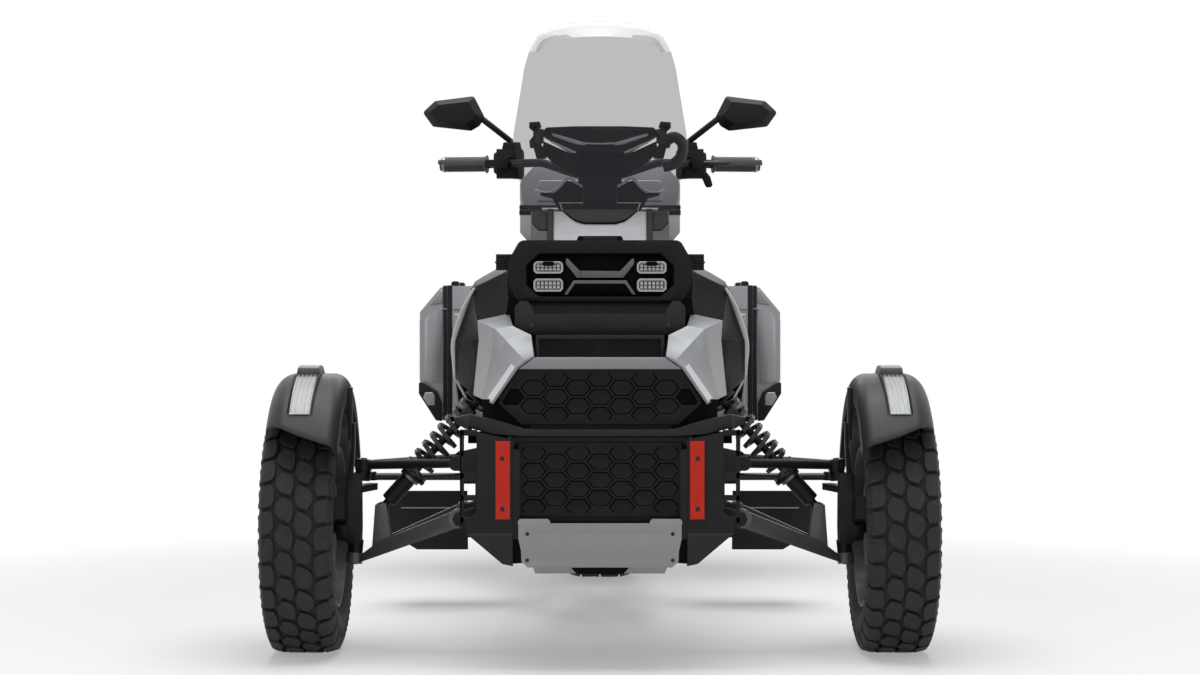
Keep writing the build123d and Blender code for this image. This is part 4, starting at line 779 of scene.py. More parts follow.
def makeGrille(name, half, y, g):
    # a solid sheet behind the mesh carries one dished cell for every opening; the sheet's near-black is painted shade,
    # for the dark depth behind the grille
    outline = mirrored(half)
    middle = (half[0][1] + half[-1][1]) / 2
    makePiece(name + "Sheet", slab(outline, y + 8.4, y + 11), "shadowPlastic", bevel=0.6)
    places = []
    for i in range(-5, 6):
        for j in range(-3, 4):
            x, z = i * g["pitchX"], middle + j * g["pitchZ"] + (g["pitchZ"] / 2 if i % 2 else 0)
            if all(inside(outline, x + a, z + b) for a, b in ((20, 10), (-20, 10), (20, -10), (-20, -10))):
                places.append((x, y + 8.5, z))
    spots(name + "Cells", places, hexagonCell(g["wide"], g["high"], g["depth"]), "mouldedPlastic")


makeGrille("lowerGrille", [(184, 355), (184, 507)], grille["lowY"], grille)
makeGrille("upperGrille", [(176, 557), (228, 603), (186, 678)], grille["lowY"] + 22, grille)

# painted highlight: a bright strip along the widest line of each shoulder panel, where that edge catches the light; its
# width by height
edgeLine = [(300, -905, 868), (331, -890, 812), (353, -880, 742), (352, -874, 690), (346, -872, 650), (322, -880, 604)]
edgeWidths = [(868, 2), (835, 9), (760, 17), (715, 9), (680, 5), (604, 3)]
rings = []
for x, y, z in rounded(edgeLine):
    wide = between(edgeWidths, z)
    rings.append([(x - wide, y - 9 + 0.35 * wide, z), (x + 3, y - 7, z), (x + 5, y + 10, z), (x - wide + 2, y + 10, z)])
makePiece("shoulderStrips", loft(rings), "highlightSilver", bevel=1.0, smooth=40, mirror=True)

# domed bolts on the red strips, the cross beam and the skid plate
darkBolts = [(x, -1296.0, z) for x in (218, -218) for z in (366, 480)] + [(157, -1150.5, 778), (-157, -1150.5, 778)]
spots("darkBolts", darkBolts, socketBolt(6.0, 4.0), "springSteel")
spots("skidBolts", [(x, -1297.0, z) for x in (163, -163) for z in (253, 312)], socketBolt(5.2, 3.0), "springSteel")

# folded tabs and the crease that stiffen the skid plate
tabs = slab([(113, 330), (113, 343), (118, 346), (180, 346), (184, 341), (184, 333)], -1299.8, -1296)
rib = loft([[(-95, -1297, 263), (95, -1297, 263), (92, -1297, 271), (-92, -1297, 271)],
            [(-92, -1299.8, 265), (92, -1299.8, 265), (90, -1299.8, 269), (-90, -1299.8, 269)]])
makePiece("skidEdges", [tabs, flipX(tabs), rib], "blastedAluminium", bevel=0.8)


def makeHeadTrim(front, floor):
    # slot trim above the lamps, ribbed lobes at the ends and the silver cross between the lamps
    makePiece("headSlot", plate(-56, 56, 973, 986, front + 4, front + 38, 6), "glossPlastic", bevel=2)
    lobes = joined([plate(212, 244 - abs(i) * 3, 925 + 7 * i - 2.4, 925 + 7 * i + 2.4, front + 17, front + 40)
                    for i in range(-2, 3)])
    makePiece("headSlotRim", [plate(-42, 42, 976, 983, front + 2, front + 6, 4), lobes, flipX(lobes)],
              "mouldedPlastic", bevel=0.8)
    # painted shade: a near-black sheet on the recess floor round the lamps
    mask = mirrored([(140, 846), (170, 873), (170, 917), (140, 945)])
    makePiece("headMask", slab(mask, floor - 1.5, floor + 0.5), "shadowPlastic", bevel=0.5)
    back = front + 24
    arms = joined([slab([(44, 889), (54, 889), (79, 921), (79, 933), (74, 933), (46, 904), (44, 904)], front, back),
                   slab([(44, 883), (44, 875), (58, 875), (75, 850), (83, 850), (61, 883)], front + 1, back)])
    makePiece("headCross", [arms, flipX(arms), plate(-46, 46, 889, 904, front, back),
                            plate(-46, 46, 875, 883, front + 1, back)],
              "greyPlastic", bevel=1.2, replaces=["headlight_trim"])


makeHeadTrim(headlight["frontY"], headlight["frontY"] + headlight["recess"])

print("stage 7: screen, dash and handlebar")
screen = {
    # (height, half width, depth of the middle, sweep back at the side)
    "sections": [(1050, 186, -806, 62), (1254, 219, -668, 92), (1570, 176, -440, 52)],
    "top": [(183, 1480), (162, 1520), (128, 1540), (70, 1554), (0, 1558)], "lip": 41,
}


def screenAt(x, z):
    # depth of the screen's front face at a height and a distance from the middle
    half, y, sag = (between([(row[0], row[i]) for row in screen["sections"]], z) for i in (1, 2, 3))
    return y + sag * (x / half) ** 2


def makeScreenLip(s):
    # the rolled upper edge: a strip that follows the sheet's arched top
    rows = 4
    arc = rounded([(x, 0, z) for x, z in s["top"]] + [(-x, 0, z) for x, z in reversed(s["top"][:-1])])
    rings = []
    for i, p in enumerate(arc):
        row = []
        for share in (k / rows for k in range(rows + 1)):
            fall = s["lip"] * math.sin(math.pi * i / (len(arc) - 1)) ** 0.5 * share
            x, z = p.x * (1 - 0.12 * share * abs(p.x) / 180), p.z - 1.5 - fall
            row.append((x, screenAt(x, z) - 0.8 - 3.0 * (1 - share) ** 2, z))
        rings.append(row + [(x, y + 0.6 + bulge, z) for (x, y, z), bulge in zip(row[::-1], (0.0, 0.2, 0.4, 0.8, 1.6))])
    makePiece("screenLip", loft(rings), "paintedHighlightPolycarbonate", smooth=60)


def makeScreenBrackets(y):
    # forked plates that hold the sheet, a round bush in each, and the strap on one side only
    fork = [(147, 1222), (176, 1222), (178, 1240), (168, 1252), (168, 1264), (178, 1272), (178, 1287), (152, 1289),
            (147, 1276), (156, 1262), (156, 1250), (147, 1240)]
    parts = [slab(fork, y - 5, y + 5), cylinder((162, y - 12, 1231), (162, y + 8, 1231), 9),
             cylinder((165, y - 12, 1280), (165, y + 8, 1280), 7),
             slab([(134, 1196), (160, 1196), (168, 1226), (150, 1232), (138, 1220)], y, y + 14)]
    makePiece("screenBrackets", parts, "mouldedPlastic", bevel=1.5, mirror=True)
    strap = rounded([(160, -560, 1236), (186, -566, 1252), (208, -562, 1236), (206, -556, 1206), (184, -552, 1184),
                     (160, -552, 1178)], 6)
    makePiece("screenStrap", tubeAlong(strap, 14), "softRubber", smooth=60)


def makeDash(y):
    # V-shaped bright strip under the hood, ribs on the neck and bright rims over the ears
    bright = [slab([(36, 1227), (40, 1235), (112, 1256), (122, 1258), (118, 1250), (60, 1230)], y - 4, y + 4),
              slab([(0, 1229), (0, 1233), (38, 1235), (38, 1230)], y - 4, y + 4),
              slab([(58, 1208), (62, 1212), (120, 1238), (122, 1234), (70, 1209)], y - 2.5, y + 4)]
    makePiece("dashStrips", bright, "lampSilver", bevel=0.9, mirror=True)
    ribs = [plate(-43, 43, z, z + 4.6, y + 20, y + 30) for z in (1154 + 9.2 * i for i in range(6))]
    hood = mirrored([(150, 1246), (150, 1256), (134, 1272), (60, 1275)]) + [(-134, 1262), (134, 1262)]
    cheek = slab([(44, 1206), (66, 1206), (142, 1240), (146, 1214), (118, 1184), (62, 1150), (44, 1146)],
                 y + 34, y + 52)
    ribs += [plate(-46, 46, 1146, 1151, y + 10, y + 24, 4), slab(hood, y - 8, y + 60), cheek, flipX(cheek)]
    makePiece("dashRibs", ribs, "mouldedPlastic", bevel=1.2)
    ear = rounded([(46, y + 24, 1126), (66, y + 22, 1140), (84, y + 20, 1147), (104, y + 24, 1124),
                   (128, y + 34, 1112), (146, y + 40, 1113), (164, y + 46, 1119)])
    bowl = rounded([(100, y + 18, 1082), (92, y + 18, 1060), (74, y + 18, 1036), (52, y + 18, 1030),
                    (26, y + 16, 1029)])
    rims = [tubeAlong(ear, 2.4, 10), tubeAlong(bowl, 1.8, 10),
            tubeAlong([(44, y + 22, 1084), (104, y + 22, 1084)], 1.6, 8)]
    makePiece("dashRims", rims, "lampSilver", smooth=60, mirror=True)
    shade = [(44, 1030), (66, 1032), (100, 1062), (112, 1080), (120, 1096), (150, 1104), (150, 1110), (116, 1110),
             (98, 1124), (84, 1142), (70, 1138), (44, 1122)]
    makePiece("dashBowl", slab(shade, y + 32, y + 60), "mouldedPlastic", bevel=1.5, mirror=True)


makeScreenLip(screen)
makeScreenBrackets(-598)
makeDash(-620)

bar = {"lean": 18 / 128, "y": -268, "z": 1200, "from": 296, "to": 421, "levelAt": 418}


def makeGrips(g):
    # ribbed rubber sleeve with a flange, and a metal ring and cap at the end
    start, end = (Vector((x, g["y"] - (g["levelAt"] - x) * g["lean"], g["z"])) for x in (g["from"], g["to"]))
    axis = end - start
    reach = axis.length
    profile = [(0, 13), (0, 23), (3, 24), (6, 21)]
    ribs, ribbed = 22, reach - 26
    wide = ribbed / ribs
    for i in range(ribs):
        at = 8 + ribbed * i / ribs
        profile += [(at, 18.6), (at + wide * 0.2, 19.8), (at + wide * 0.7, 19.8), (at + wide * 0.9, 18.6)]
    profile += [(reach - 14, 20), (reach - 12, 17)]
    makePiece("gripSleeves", lathe(profile, start, axis), "gripRubber", "handlebar", smooth=40, mirror=True,
              replaces=["grips"])
    ring = [(-13, 16), (-13, 20.2), (-9, 20.6), (-6, 19.6), (-6, 15), (-1, 18), (1, 16), (1.5, 8)]
    makePiece("gripRings", lathe([(reach + at, r) for at, r in ring], start, axis), "groundSteel", "handlebar",
              smooth=40, mirror=True)


def makeControls(y):
    # switch housings with buttons, reservoir, lever blades, and the paddle on one side
    housing = loft([[(x, y + y0, z0), (x, y + y1, z0), (x, y + y2, z1), (x, y + y3, z2)]
                    for x, y0, y1, y2, y3, z0, z1, z2 in ((200, -46, -8, -4, -44, 1168, 1226, 1232),
                                                          (206, -54, -4, 0, -50, 1160, 1234, 1240),
                                                          (262, -52, -2, 2, -48, 1164, 1234, 1238),
                                                          (280, -42, -4, 0, -40, 1178, 1222, 1226))])
    buttons = [plate(x - wide / 2, x + wide / 2, z - high / 2, z + high / 2, y - 58, y - 44) for x, z, wide, high in
               ((216, 1216, 14, 9), (238, 1216, 14, 9), (226, 1196, 22, 12), (228, 1176, 12, 8))]
    tank = plate(206, 258, 1236, 1256, y - 50, y - 10, 4)
    makePiece("switchHousings", [housing] + buttons + [tank], "mouldedPlastic", "handlebar", bevel=2, mirror=True,
              replaces=["controls"])
    blade = rounded([(250, y - 64, 1199), (290, y - 72, 1200), (350, y - 66, 1200), (410, y - 50, 1200),
                     (424, y - 42, 1200)])
    sizes = [8 - 3 * i / (len(blade) - 1) for i in range(len(blade))]
    makePiece("brakeLever", [tubeAlong(blade, sizes, 12), cylinder((248, y - 62, 1188), (248, y - 62, 1212), 9)],
              "springSteel", "handlebar", smooth=50)
    paddle = [[(264, y - 40, 1182), (276, y - 40, 1182), (276, y - 34, 1184), (264, y - 34, 1184)],
              [(268, y - 52, 1160), (290, y - 52, 1164), (290, y - 46, 1166), (268, y - 46, 1162)],
              [(276, y - 50, 1142), (296, y - 50, 1144), (296, y - 45, 1144), (276, y - 45, 1142)],
              [(280, y - 46, 1137), (292, y - 46, 1138), (292, y - 42, 1138), (280, y - 42, 1137)]]
    makePiece("shiftPaddle", loft(paddle), "mouldedPlastic", "handlebar", bevel=1.5)


makeGrips(bar)
makeControls(bar["y"])

print("stage 8: cases")
sideCase = {"front": 560, "back": 1060, "split": 454, "outer": 536, "low": 489, "high": 888}


def raisedPanel(outline, y, height, inset=4.0):
    # a panel standing off a face at y, its edge sloped by inset; height may be negative
    def scaled(values):
        middle, share = sum(values) / len(values), 1 - 2 * inset / (max(values) - min(values))
        return [middle + (v - middle) * share for v in values]

    small = list(zip(*(scaled(values) for values in zip(*outline))))
    base = y + (0.5 if height < 0 else -0.5)
    return loft([[(x, at, z) for x, z in run]
                 for run, at in ((outline, base), (outline, y + height * 0.4), (small, y + height))])


def sidePanel(outline, x, height, inset=5.0):
    points, faces = raisedPanel(outline, x, height, inset)
    return [(y, x0, z) for x0, y, z in points], faces


def band(low, high, z0, z1, proud, deep):
    # a closed strip round the rectangle from low to high, from z0 to z1
    points, faces = [], []
    for z in (z0, z1):
        for grow in (proud, -deep):
            x0, y0, x1, y1 = low[0] - grow, low[1] - grow, high[0] + grow, high[1] + grow
            points += [(x0, y0, z), (x1, y0, z), (x1, y1, z), (x0, y1, z)]
    for k in range(4):
        m = (k + 1) % 4
        faces += [(k, m, 8 + m, 8 + k), (4 + k, 12 + k, 12 + m, 4 + m), (k, 4 + k, 4 + m, m),
                  (8 + k, 8 + m, 12 + m, 12 + k)]
    return points, faces


def hoopBand(x0, x1, c, trim=0):
    # a strip round the side case in the y-z plane
    points, faces = band((c["front"], c["low"] + trim), (c["back"], c["high"] - trim), x0, x1, 2.2, 4)
    return [(x, y, z) for y, z, x in points], faces


def ringBand(z0, z1, narrow=0.0):
    # a strip round the top case between two heights
    half = topCase["half"] - narrow
    return band((-half, topCase["front"]), (half, topCase["back"]), z0, z1, 2.5, 4)


def makeSideCase(side, sign, c):
    front, back, outer = c["front"], c["back"], c["outer"]

    def make(name, parts, finish, body, bevel):
        parts = joined(parts)
        makePiece(name + side, parts if sign > 0 else flipX(parts), finish, body, bevel)

    # the front and back panels bow outwards: (x, lift, low z, high z)
    bow = [(468, -0.5, 604, 818), (474, 4.5, 603, 819), (486, 7.0, 602, 817), (500, 7.0, 602, 812),
           (512, 5.0, 603, 803), (520, 2.0, 604, 794), (524, -0.5, 606, 790)]
    chamfer = [(468, 836), (501, 832), (506, 834), (474, 874), (468, 876)]
    shell = []
    for y, turn in ((front, -1), (back, 1)):
        shell.append(loft([[(x, y + turn * lift, z0), (x, y + turn * lift, z1), (x, y - turn * 1.5, z1 + 1),
                            (x, y - turn * 1.5, z0 - 1)] for x, lift, z0, z1 in bow]))
        shell.append(raisedPanel(chamfer, y, turn * 3.0, 2.5))
    shell.append(sidePanel([(600, 604), (1020, 604), (1024, 608), (1024, 784), (1018, 792), (602, 792), (596, 786),
                            (596, 608)], outer, 4))
    shell += [sidePanel([(630, z - 9), (990, z - 9), (990, z + 9), (630, z + 9)], outer + 4, 2.5, 3)
              for z in (650, 698, 746)]
    make("caseLidPanels_", shell, "casePaint", "pannier_lid_" + side, 0.8)
    bright = [slab([(456.5, 818), (486, 818), (483, 822), (456.5, 822)], front - 3, front + 1),
              raisedPanel([(491, 533), (512, 533), (526, 556), (520, 572), (498, 572), (491, 562)], front - 8, -2.5, 2)]
    make("caseLidTrim_", bright, "blastedAluminium", "pannier_lid_" + side, 0.6)
    # dark corner guards below, and the dark strips beside the split
    corner = [(470, 486), (488, 488), (539, 568), (539, 600), (526, 600), (484, 572), (470, 540)]
    guards = [slab(corner, front - 8, front + 26), slab(corner, back - 26, back + 8),
              hoopBand(c["split"] + 1.5, 467, c, 1)]
    make("caseLidGuards_", guards, "mouldedPlastic", "pannier_lid_" + side, 1.2)
    dark = [hoopBand(440, c["split"] - 0.5, c)]
    for y in (front + 90, back - 90):
        dark.append(slab([(424, 884), (446, 884), (446, 899), (440, 903), (428, 903), (424, 899)], y - 34, y + 34))
        dark.append(sideSlab([(y - 20, 560), (y + 20, 560), (y + 20, 800), (y - 20, 800)], 292, 301))
    make("caseBands_", dark, "mouldedPlastic", "root", 1.0)
    face = [(322, 520), (432, 520), (434, 560), (434, 806), (322, 806)]
    panels = [raisedPanel(face, front, -4), raisedPanel(face, back, 4),
              plate(392, 439, 818, 822, front - 4.5, front - 1)]
    make("casePanels_", panels, "casePaint", "root", 0.8)


for side, sign in sides:
    makeSideCase(side, sign, sideCase)


def makeTopCase(front, back):
    base = [ringBand(1112, 1127.5), plate(-60, 60, 1060, 1108, back - 2, back + 2.5, 4)]
    base += [plate(x - 20, x + 20, 1040, 1108, front - 3, front + 2) for x in (-182, 182)]
    makePiece("topCaseBaseTrim", base, "mouldedPlastic", bevel=1.0)
    lid = [ringBand(1129.6, 1142, 0.5), plate(-34, 34, 1134, 1176, back - 2, back + 3.5, 4)]
    makePiece("topCaseLidBand", lid, "mouldedPlastic", "top_case_lid", bevel=1.0)
    side = sidePanel([(900, 1152), (1276, 1152), (1276, 1206), (1264, 1214), (912, 1214), (900, 1206)], 245.5, 4)
    rear = raisedPanel([(52, 1152), (196, 1152), (196, 1208), (184, 1220), (52, 1220)], back, 3)
    panels = [side, flipX(side), raisedPanel([(-196, 1152), (196, 1152), (196, 1208), (184, 1220), (-184, 1220),
                                              (-196, 1208)], front, -4), rear, flipX(rear)]
    for x in range(-140, 141, 70):
        # long ribs pressed into the lid's top
        panels.append(loft([[(x - a, y0, z), (x + a, y0, z), (x + a, y1, z), (x - a, y1, z)]
                            for a, y0, y1, z in ((20, 930, 1250, 1269), (15, 936, 1244, 1274))]))
    makePiece("topCasePanels", panels, "casePaint", "top_case_lid", bevel=0.8)


makeTopCase(topCase["front"], topCase["back"])

print("stage 9: chassis")


def cutNode(node, name, finish, planes, width=1.2, stands=True):
    # a merged copy of the node with the corners beyond the planes cut off
    form = mergedForm(node)
    for place, normal in planes:
        geometry = form.verts[:] + form.edges[:] + form.faces[:]
        cut = bmesh.ops.bisect_plane(form, geom=geometry, dist=1e-5, plane_co=Vector(place) * mm,
                                     plane_no=Vector(normal), clear_outer=True)
        edges = [item for item in cut["geom_cut"] if isinstance(item, bmesh.types.BMEdge)]
        bmesh.ops.holes_fill(form, edges=edges, sides=0)
    bmesh.ops.recalc_face_normals(form, faces=form.faces)
    piece = shellOf(form, name, finish, nodes[node]["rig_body"], width, 25)
    if stands:
        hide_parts(node)


cutNode("footrests", "footrestGuards", "powderCoat",
        [((0, 0, 163), (0, 0, -1)), ((567, 0, 205), (0.523, 0, -0.852)), ((-567, 0, 205), (-0.523, 0, -0.852))])
makePiece("guardLines", plate(366, 540, 277, 280.5, -104, -98), "blastedAluminium", mirror=True)
footRibs = [loft([[(a, y + c, z), (b, y + c, z), (b, y + d, z), (a, y + d, z)]
                  for a, b, c, d, z in ((372, 548, 0, 10, 207), (374, 546, 2, 8, 212))]) for y in range(-66, 95, 20)]
makePiece("footboardRibs", footRibs, "softRubber", bevel=0.6, mirror=True)


def makeBumperPlates(y, edge, post):
    parts = [slab([(195, 239), (219, 244), (301, 313), (301, 338), (edge, 362), (edge, 541), (195, 523)], y, y + 4)]
    parts += [plate(edge - 2, post, z, z + 13, y + 1, y + 8) for z in (336, 386, 436, 486, 532)]
    parts += [slab([(305, 322), (post, 330), (post, 545), (305, 545)], y + 1, y + 8),
              sideSlab([(y + 1, 320), (y + 60, 350), (y + 60, 520), (y + 1, 545)], post - 4, post),
              plate(180, 197, 300, 500, y, y + 5)]
    # the lower part is folded back a little; its lighter grey, against the plates' black, is painted highlight for the
    # light it catches
    fold = loft([[(196, y - lift, low), (out, y - lift, high), (out, y + 2, high), (196, y + 2, low)]
                 for out, lift, low, high in ((299, 0.4, 313, 313), (294, 3.2, 308, 308), (218, 0.8, 241, 246))])
    makePiece("bumperFolds", fold, "darkGreyPlastic", bevel=0.8, mirror=True)
    makePiece("bumperPlates", parts, "powderCoat", bevel=0.8, mirror=True, replaces=("bumper_plates",))


makeBumperPlates(-1293.7, 277, 314)


def turnedPieces(pieces, start, along, mirror=False):
    for name, (finish, smooth, count, profiles) in pieces.items():
        makePiece(name, [lathe(profile, start, along, count) for profile in profiles], finish, smooth=smooth,
                  mirror=mirror)


# the threaded body below each coil with its lock rings, the rod and the bump stop
shockFoot, shockHead = Vector((520, -940, 342)), Vector((270, -940, 620))
reach = (shockHead - shockFoot).length
turnedPieces({
    # name: (finish, smoothing, sides, profiles)
    "shockRings": ("zincPlate", 40, 28, [[(96 + shift, 24.5), (97 + shift, 25.5), (104 + shift, 25.5),
                                          (105 + shift, 24.5)] for shift in (0, 11)]),
    "shockBodies": ("powderCoat", 40, 28, [[(24, 15), (26, 19.5), (92, 19.5), (94, 17)]]),
    "shockRods": ("groundSteel", 40, 18, [[(110, 7.2), (reach - 48, 7.2)]]),
    "shockBumpers": ("softRubber", 50, 22, [[(reach - 96, 8), (reach - 94, 13), (reach - 84, 15), (reach - 76, 12),
                                             (reach - 66, 16), (reach - 54, 17), (reach - 52, 9)]]),
}, shockFoot, shockHead - shockFoot, mirror=True)

# the control bodies are dark, the blades before the grips are grey
bladeX = 300
cutNode("controls", "controlBodies", "mouldedPlastic",
        [((bladeX, 0, 0), (1, 0, 0)), ((-bladeX, 0, 0), (-1, 0, 0))], 2.0)
for side, sign in reversed(sides):
    cutNode("controls", "controlBlade" + side.capitalize(), "gripRubber", [((sign * bladeX, 0, 0), (-sign, 0, 0))],
            2.0, False)


def onSlope(points, low, high):
    # (x, y) points laid on the slope behind the nose, between two heights above it
    return loft([[(x, y, 997 + (y + 894) * 0.62 + lift) for x, y in points] for lift in (low, high)])


def makeNoseFill():
    # painted shade: a dark sheet behind the headlight's lower edge, and dark cheeks behind the cowls' lower corners,
    # the bumper bar and the skid plate's edges, where there is only shadow between the parts
    cheeks = joined([slab([(190, 512), (299, 512), (299, 536), (266, 540), (266, 612), (190, 612)], -1236, -1230),
                     slab([(164, 246), (198, 244), (198, 332), (164, 332)], -1286, -1281)])
    makePiece("noseBacking", [plate(-228, 228, 742, 846, -1052, -1047, 14), cheeks, flipX(cheeks)],
              "shadowPlastic", bevel=1.0)
    # painted shade: a near-black block under the skid plate's nose, where the underside lies in shadow
    guard = loft([[(-70, y, 241), (70, y, 241), (52, y, 221), (-52, y, 221)] for y in (-1294, -1236)])
    makePiece("sumpGuard", guard, "shadowPlastic", bevel=2.0)
    # painted highlight: bright bands on the tops of the skid plate's folded tabs
    lips = slab([(112, 333), (118, 337), (180, 337), (184, 333), (184, 340), (181, 343), (117, 343), (112, 340)],
                -1299.8, -1296)
    makePiece("skidLips", lips, "highlightSilver", bevel=0.6, mirror=True)
    # a grey plate on the slope, paler than the fairing: painted reflection, for the sheen the slope shows there; dark
    # inlays and rails on it, and dark plates outside the rails, which are painted shade over the slope's sides
    makePiece("screenCrescent", onSlope([(-113, -806), (-113, -950), (113, -950), (113, -806)], -1, 3), "greyPlastic",
              bevel=1.2)
    dark = onSlope(mirrored([(-92, -805), (-76, -829), (-60, -849), (-38, -860)]), 2, 8)
    rail = joined([onSlope([(113, -804), (128, -804), (126, -952), (111, -952)], -1, 9),
                   onSlope([(127, -804), (165, -804), (165, -850), (148, -880), (127, -880)], -1, 2)])
    makePiece("screenInlays", [dark, rail, flipX(rail)], "shadowPlastic", bevel=1.2)


makeNoseFill()


def skinOf(mesh):
    return BVHTree.FromPolygons([vert.co for vert in mesh.vertices], [face.vertices for face in mesh.polygons])


def makeCowlHighlights():
    # painted highlight: a bright strip laid on the cowls along the chamfer beside the upper grille
    skin, steps = skinOf(nodes["cowls"].data), 14
    rings = []
    for t in (k / steps for k in range(steps + 1)):
        row = []
        for out, lift in ((2, 0.2), (3.5, 2.6), (13, 3.0), (15, 0.2)):
            x, z = 189 + 54 * t + out * 0.82, 684 - 78 * t + out * 0.57
            hit = skin.ray_cast(Vector((x * mm, -2.0, z * mm)), Vector((0, 1, 0)))[0]
            row.append((x, hit.y / mm - lift, z))
        rings.append(row + [(x, y + 3, z) for x, y, z in row[::-1]])
    makePiece("cowlEdges", loft(rings), "highlightSilver", smooth=40, mirror=True)


makeCowlHighlights()


def makeWheelFixings(side, sign, y, z):
    # cap and five nuts on the hub's outer face
    skin = skinOf(nodes["front_rim_" + side].data)

    def turned(profile, at, seat, count):
        # a part turned about the line across the wheel, seated on the rim's face
        hit = skin.ray_cast(Vector((sign * 1.2, seat[0] * mm, seat[1] * mm)), Vector((-sign, 0, 0)))[0]
        return lathe(profile, (hit.x / mm, *at), (sign, 0, 0), count)

    nuts, nutCircle = 5, 42
    parts = [turned([(-6, 26), (4, 25), (7, 21), (8, 8)], (y, z), (y + 30, z + 2), 28)]
    for angle in (2 * math.pi * (k + 0.5) / nuts for k in range(nuts)):
        at = (y + nutCircle * math.cos(angle), z + nutCircle * math.sin(angle))
        parts.append(turned([(-4, 8.5), (8, 8.5), (9.5, 7)], at, at, 6))
    makePiece("wheelFixings_" + side, parts, "zincPlate", "wheel_" + side, bevel=0.5)


for side, sign in sides:
    makeWheelFixings(side, sign, frontTyre["y"], frontTyre["radius"])

# upright ribs and a dark frame on the tail lamp, bands and outlet on the silencer, with a dark ring inside the outlet
# as painted shade
makePiece("tailLampRibs", [plate(x - 2, x + 2, 778, 822, 1080, 1084.5) for x in range(-96, 97, 16)], "redAcrylic",
          bevel=0.5)
makePiece("tailLampFrame", plate(-118, 118, 829, 836, 1056, 1085, 4), "shadowPlastic", bevel=0.8)
turnedPieces({
    "silencerBands": ("powderCoat", 40, 40, [[(a, 50), (a + 1, 53.6), (a + 15, 53.6), (a + 16, 50)] for a in (36, 292)]
                      + [[(338, 50), (339, 53.4), (354, 53.4), (364, 46), (366, 34)]]),
    "silencerOutlet": ("groundSteel", 40, 28, [[(360, 25), (374, 24), (374.5, 21), (368, 19)]]),
    # painted shade: a dark ring inside the outlet
    "silencerMouth": ("shadowPlastic", 30, 28, [[(368.5, 19), (369.5, 18)]]),
}, (-246, 300, 308), (-16, 340, 116))

print("stage 10: seats")
seatPads = {
    "rider_seat": {"name": "riderSeat", "start": 9, "fill": 0.75,
                   "seam": [(62, -20), (98, 130), (112, 320), (104, 396)],
                   "channels": [(84, 60), (98, 140), (106, 220), (112, 300)]},
    "passenger_seat": {"name": "passengerSeat", "start": 8, "fill": 0.8,
                       "seam": [(84, 462), (96, 620), (82, 778)],
                       "channels": [(92, 540), (96, 620), (90, 700)]},
}
padVoxel, padSwell = 6, 14


def inflated(mesh, swell, steps=20):
    # air pressure swells the cover, while the underside stays on its pan
    start = [vert.co.copy() for vert in mesh.vertices]
    holder = holding(mesh)
    rests = holder.vertex_groups.new(name="rests")
    rests.add([vert.index for vert in mesh.vertices if vert.normal.z < -0.6], 1.0, "REPLACE")
    cover = holder.modifiers.new("cover", "CLOTH")
    cloth = cover.settings
    cloth.quality = 4
    cloth.use_pressure = True
    cloth.uniform_pressure_force = 1.6
    cloth.tension_stiffness = cloth.compression_stiffness = 40
    cloth.effector_weights.gravity = 0.0
    cloth.vertex_group_mass = "rests"
    cover.point_cache.frame_start, cover.point_cache.frame_end = 1, steps
    for step in range(1, steps + 1):
        bpy.context.scene.frame_set(step)
    full = settled(holder)
    bpy.context.scene.frame_set(1)
    for vert, home in zip(full.vertices, start):
        move = vert.co - home
        if move.length > swell:
            vert.co = home + move.normalized() * swell
    return full


def evened(holder, iterations):
    rounding = holder.modifiers.new("rounding", "SMOOTH")
    rounding.factor, rounding.iterations = 0.5, iterations


def padMesh(node, pad):
    form = formOf(nodes[node].data)
    bmesh.ops.remove_doubles(form, verts=form.verts, dist=0.05 * mm)
    bmesh.ops.recalc_face_normals(form, faces=form.faces)
    form.normal_update()
    for vert in form.verts:
        vert.co -= vert.normal * pad["start"] * mm
    holder = holding(written(form, bpy.data.meshes.new(node + "Pad")))
    remesh = holder.modifiers.new("remesh", "REMESH")
    remesh.mode, remesh.voxel_size = "VOXEL", padVoxel * mm
    evened(holder, 8)
    mesh = settled(holder)
    mesh = inflated(mesh, padSwell * mm)
    low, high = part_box(node)
    for vert in mesh.vertices:
        # the pad keeps to the room of its CAD solid
        for axis in range(3):
            vert.co[axis] = min(max(vert.co[axis], low[axis]), high[axis])
    holder = holding(mesh)
    evened(holder, 16)      # the vinyl is stretched over its foam
    finer = holder.modifiers.new("finer", "SUBSURF")
    finer.levels = finer.render_levels = 1
    mesh = settled(holder)
    smoothEdges(mesh, 60)
    return mesh


def makeSeat(node, pad):
    mesh = padMesh(node, pad)
    seat = newPiece(pad["name"], mesh, "seatVinyl", "root")
    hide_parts(node)
    skin = skinOf(mesh)

    def drawn(path):
        # the path in short steps, each laid on the cover
        laid = []
        for (x0, y0), (x1, y1) in zip(path, path[1:]):
            steps = max(2, int(math.hypot(x1 - x0, y1 - y0) / 8))
            laid += [(x0 + (x1 - x0) * i / steps, y0 + (y1 - y0) * i / steps) for i in range(steps)]
        laid.append(path[-1])
        drop = Vector((0, 0, -1))
        return [(x, y, skin.ray_cast(Vector((x * mm, y * mm, 2.0)), drop)[0].z / mm - 0.4) for x, y in laid]

    piping = [tubeAlong(drawn(mirrored(pad["seam"]) + pad["seam"][:1])[:-1], 2.4, 6, closed=True)]
    piping += [tubeAlong(drawn([(-x + 3, y), (x - 3, y)]), 1.4, 6) for x, y in pad["channels"]]
    makePiece(pad["name"] + "Piping", piping, "softRubber", smooth=60)


for node, pad in seatPads.items():
    makeSeat(node, pad)

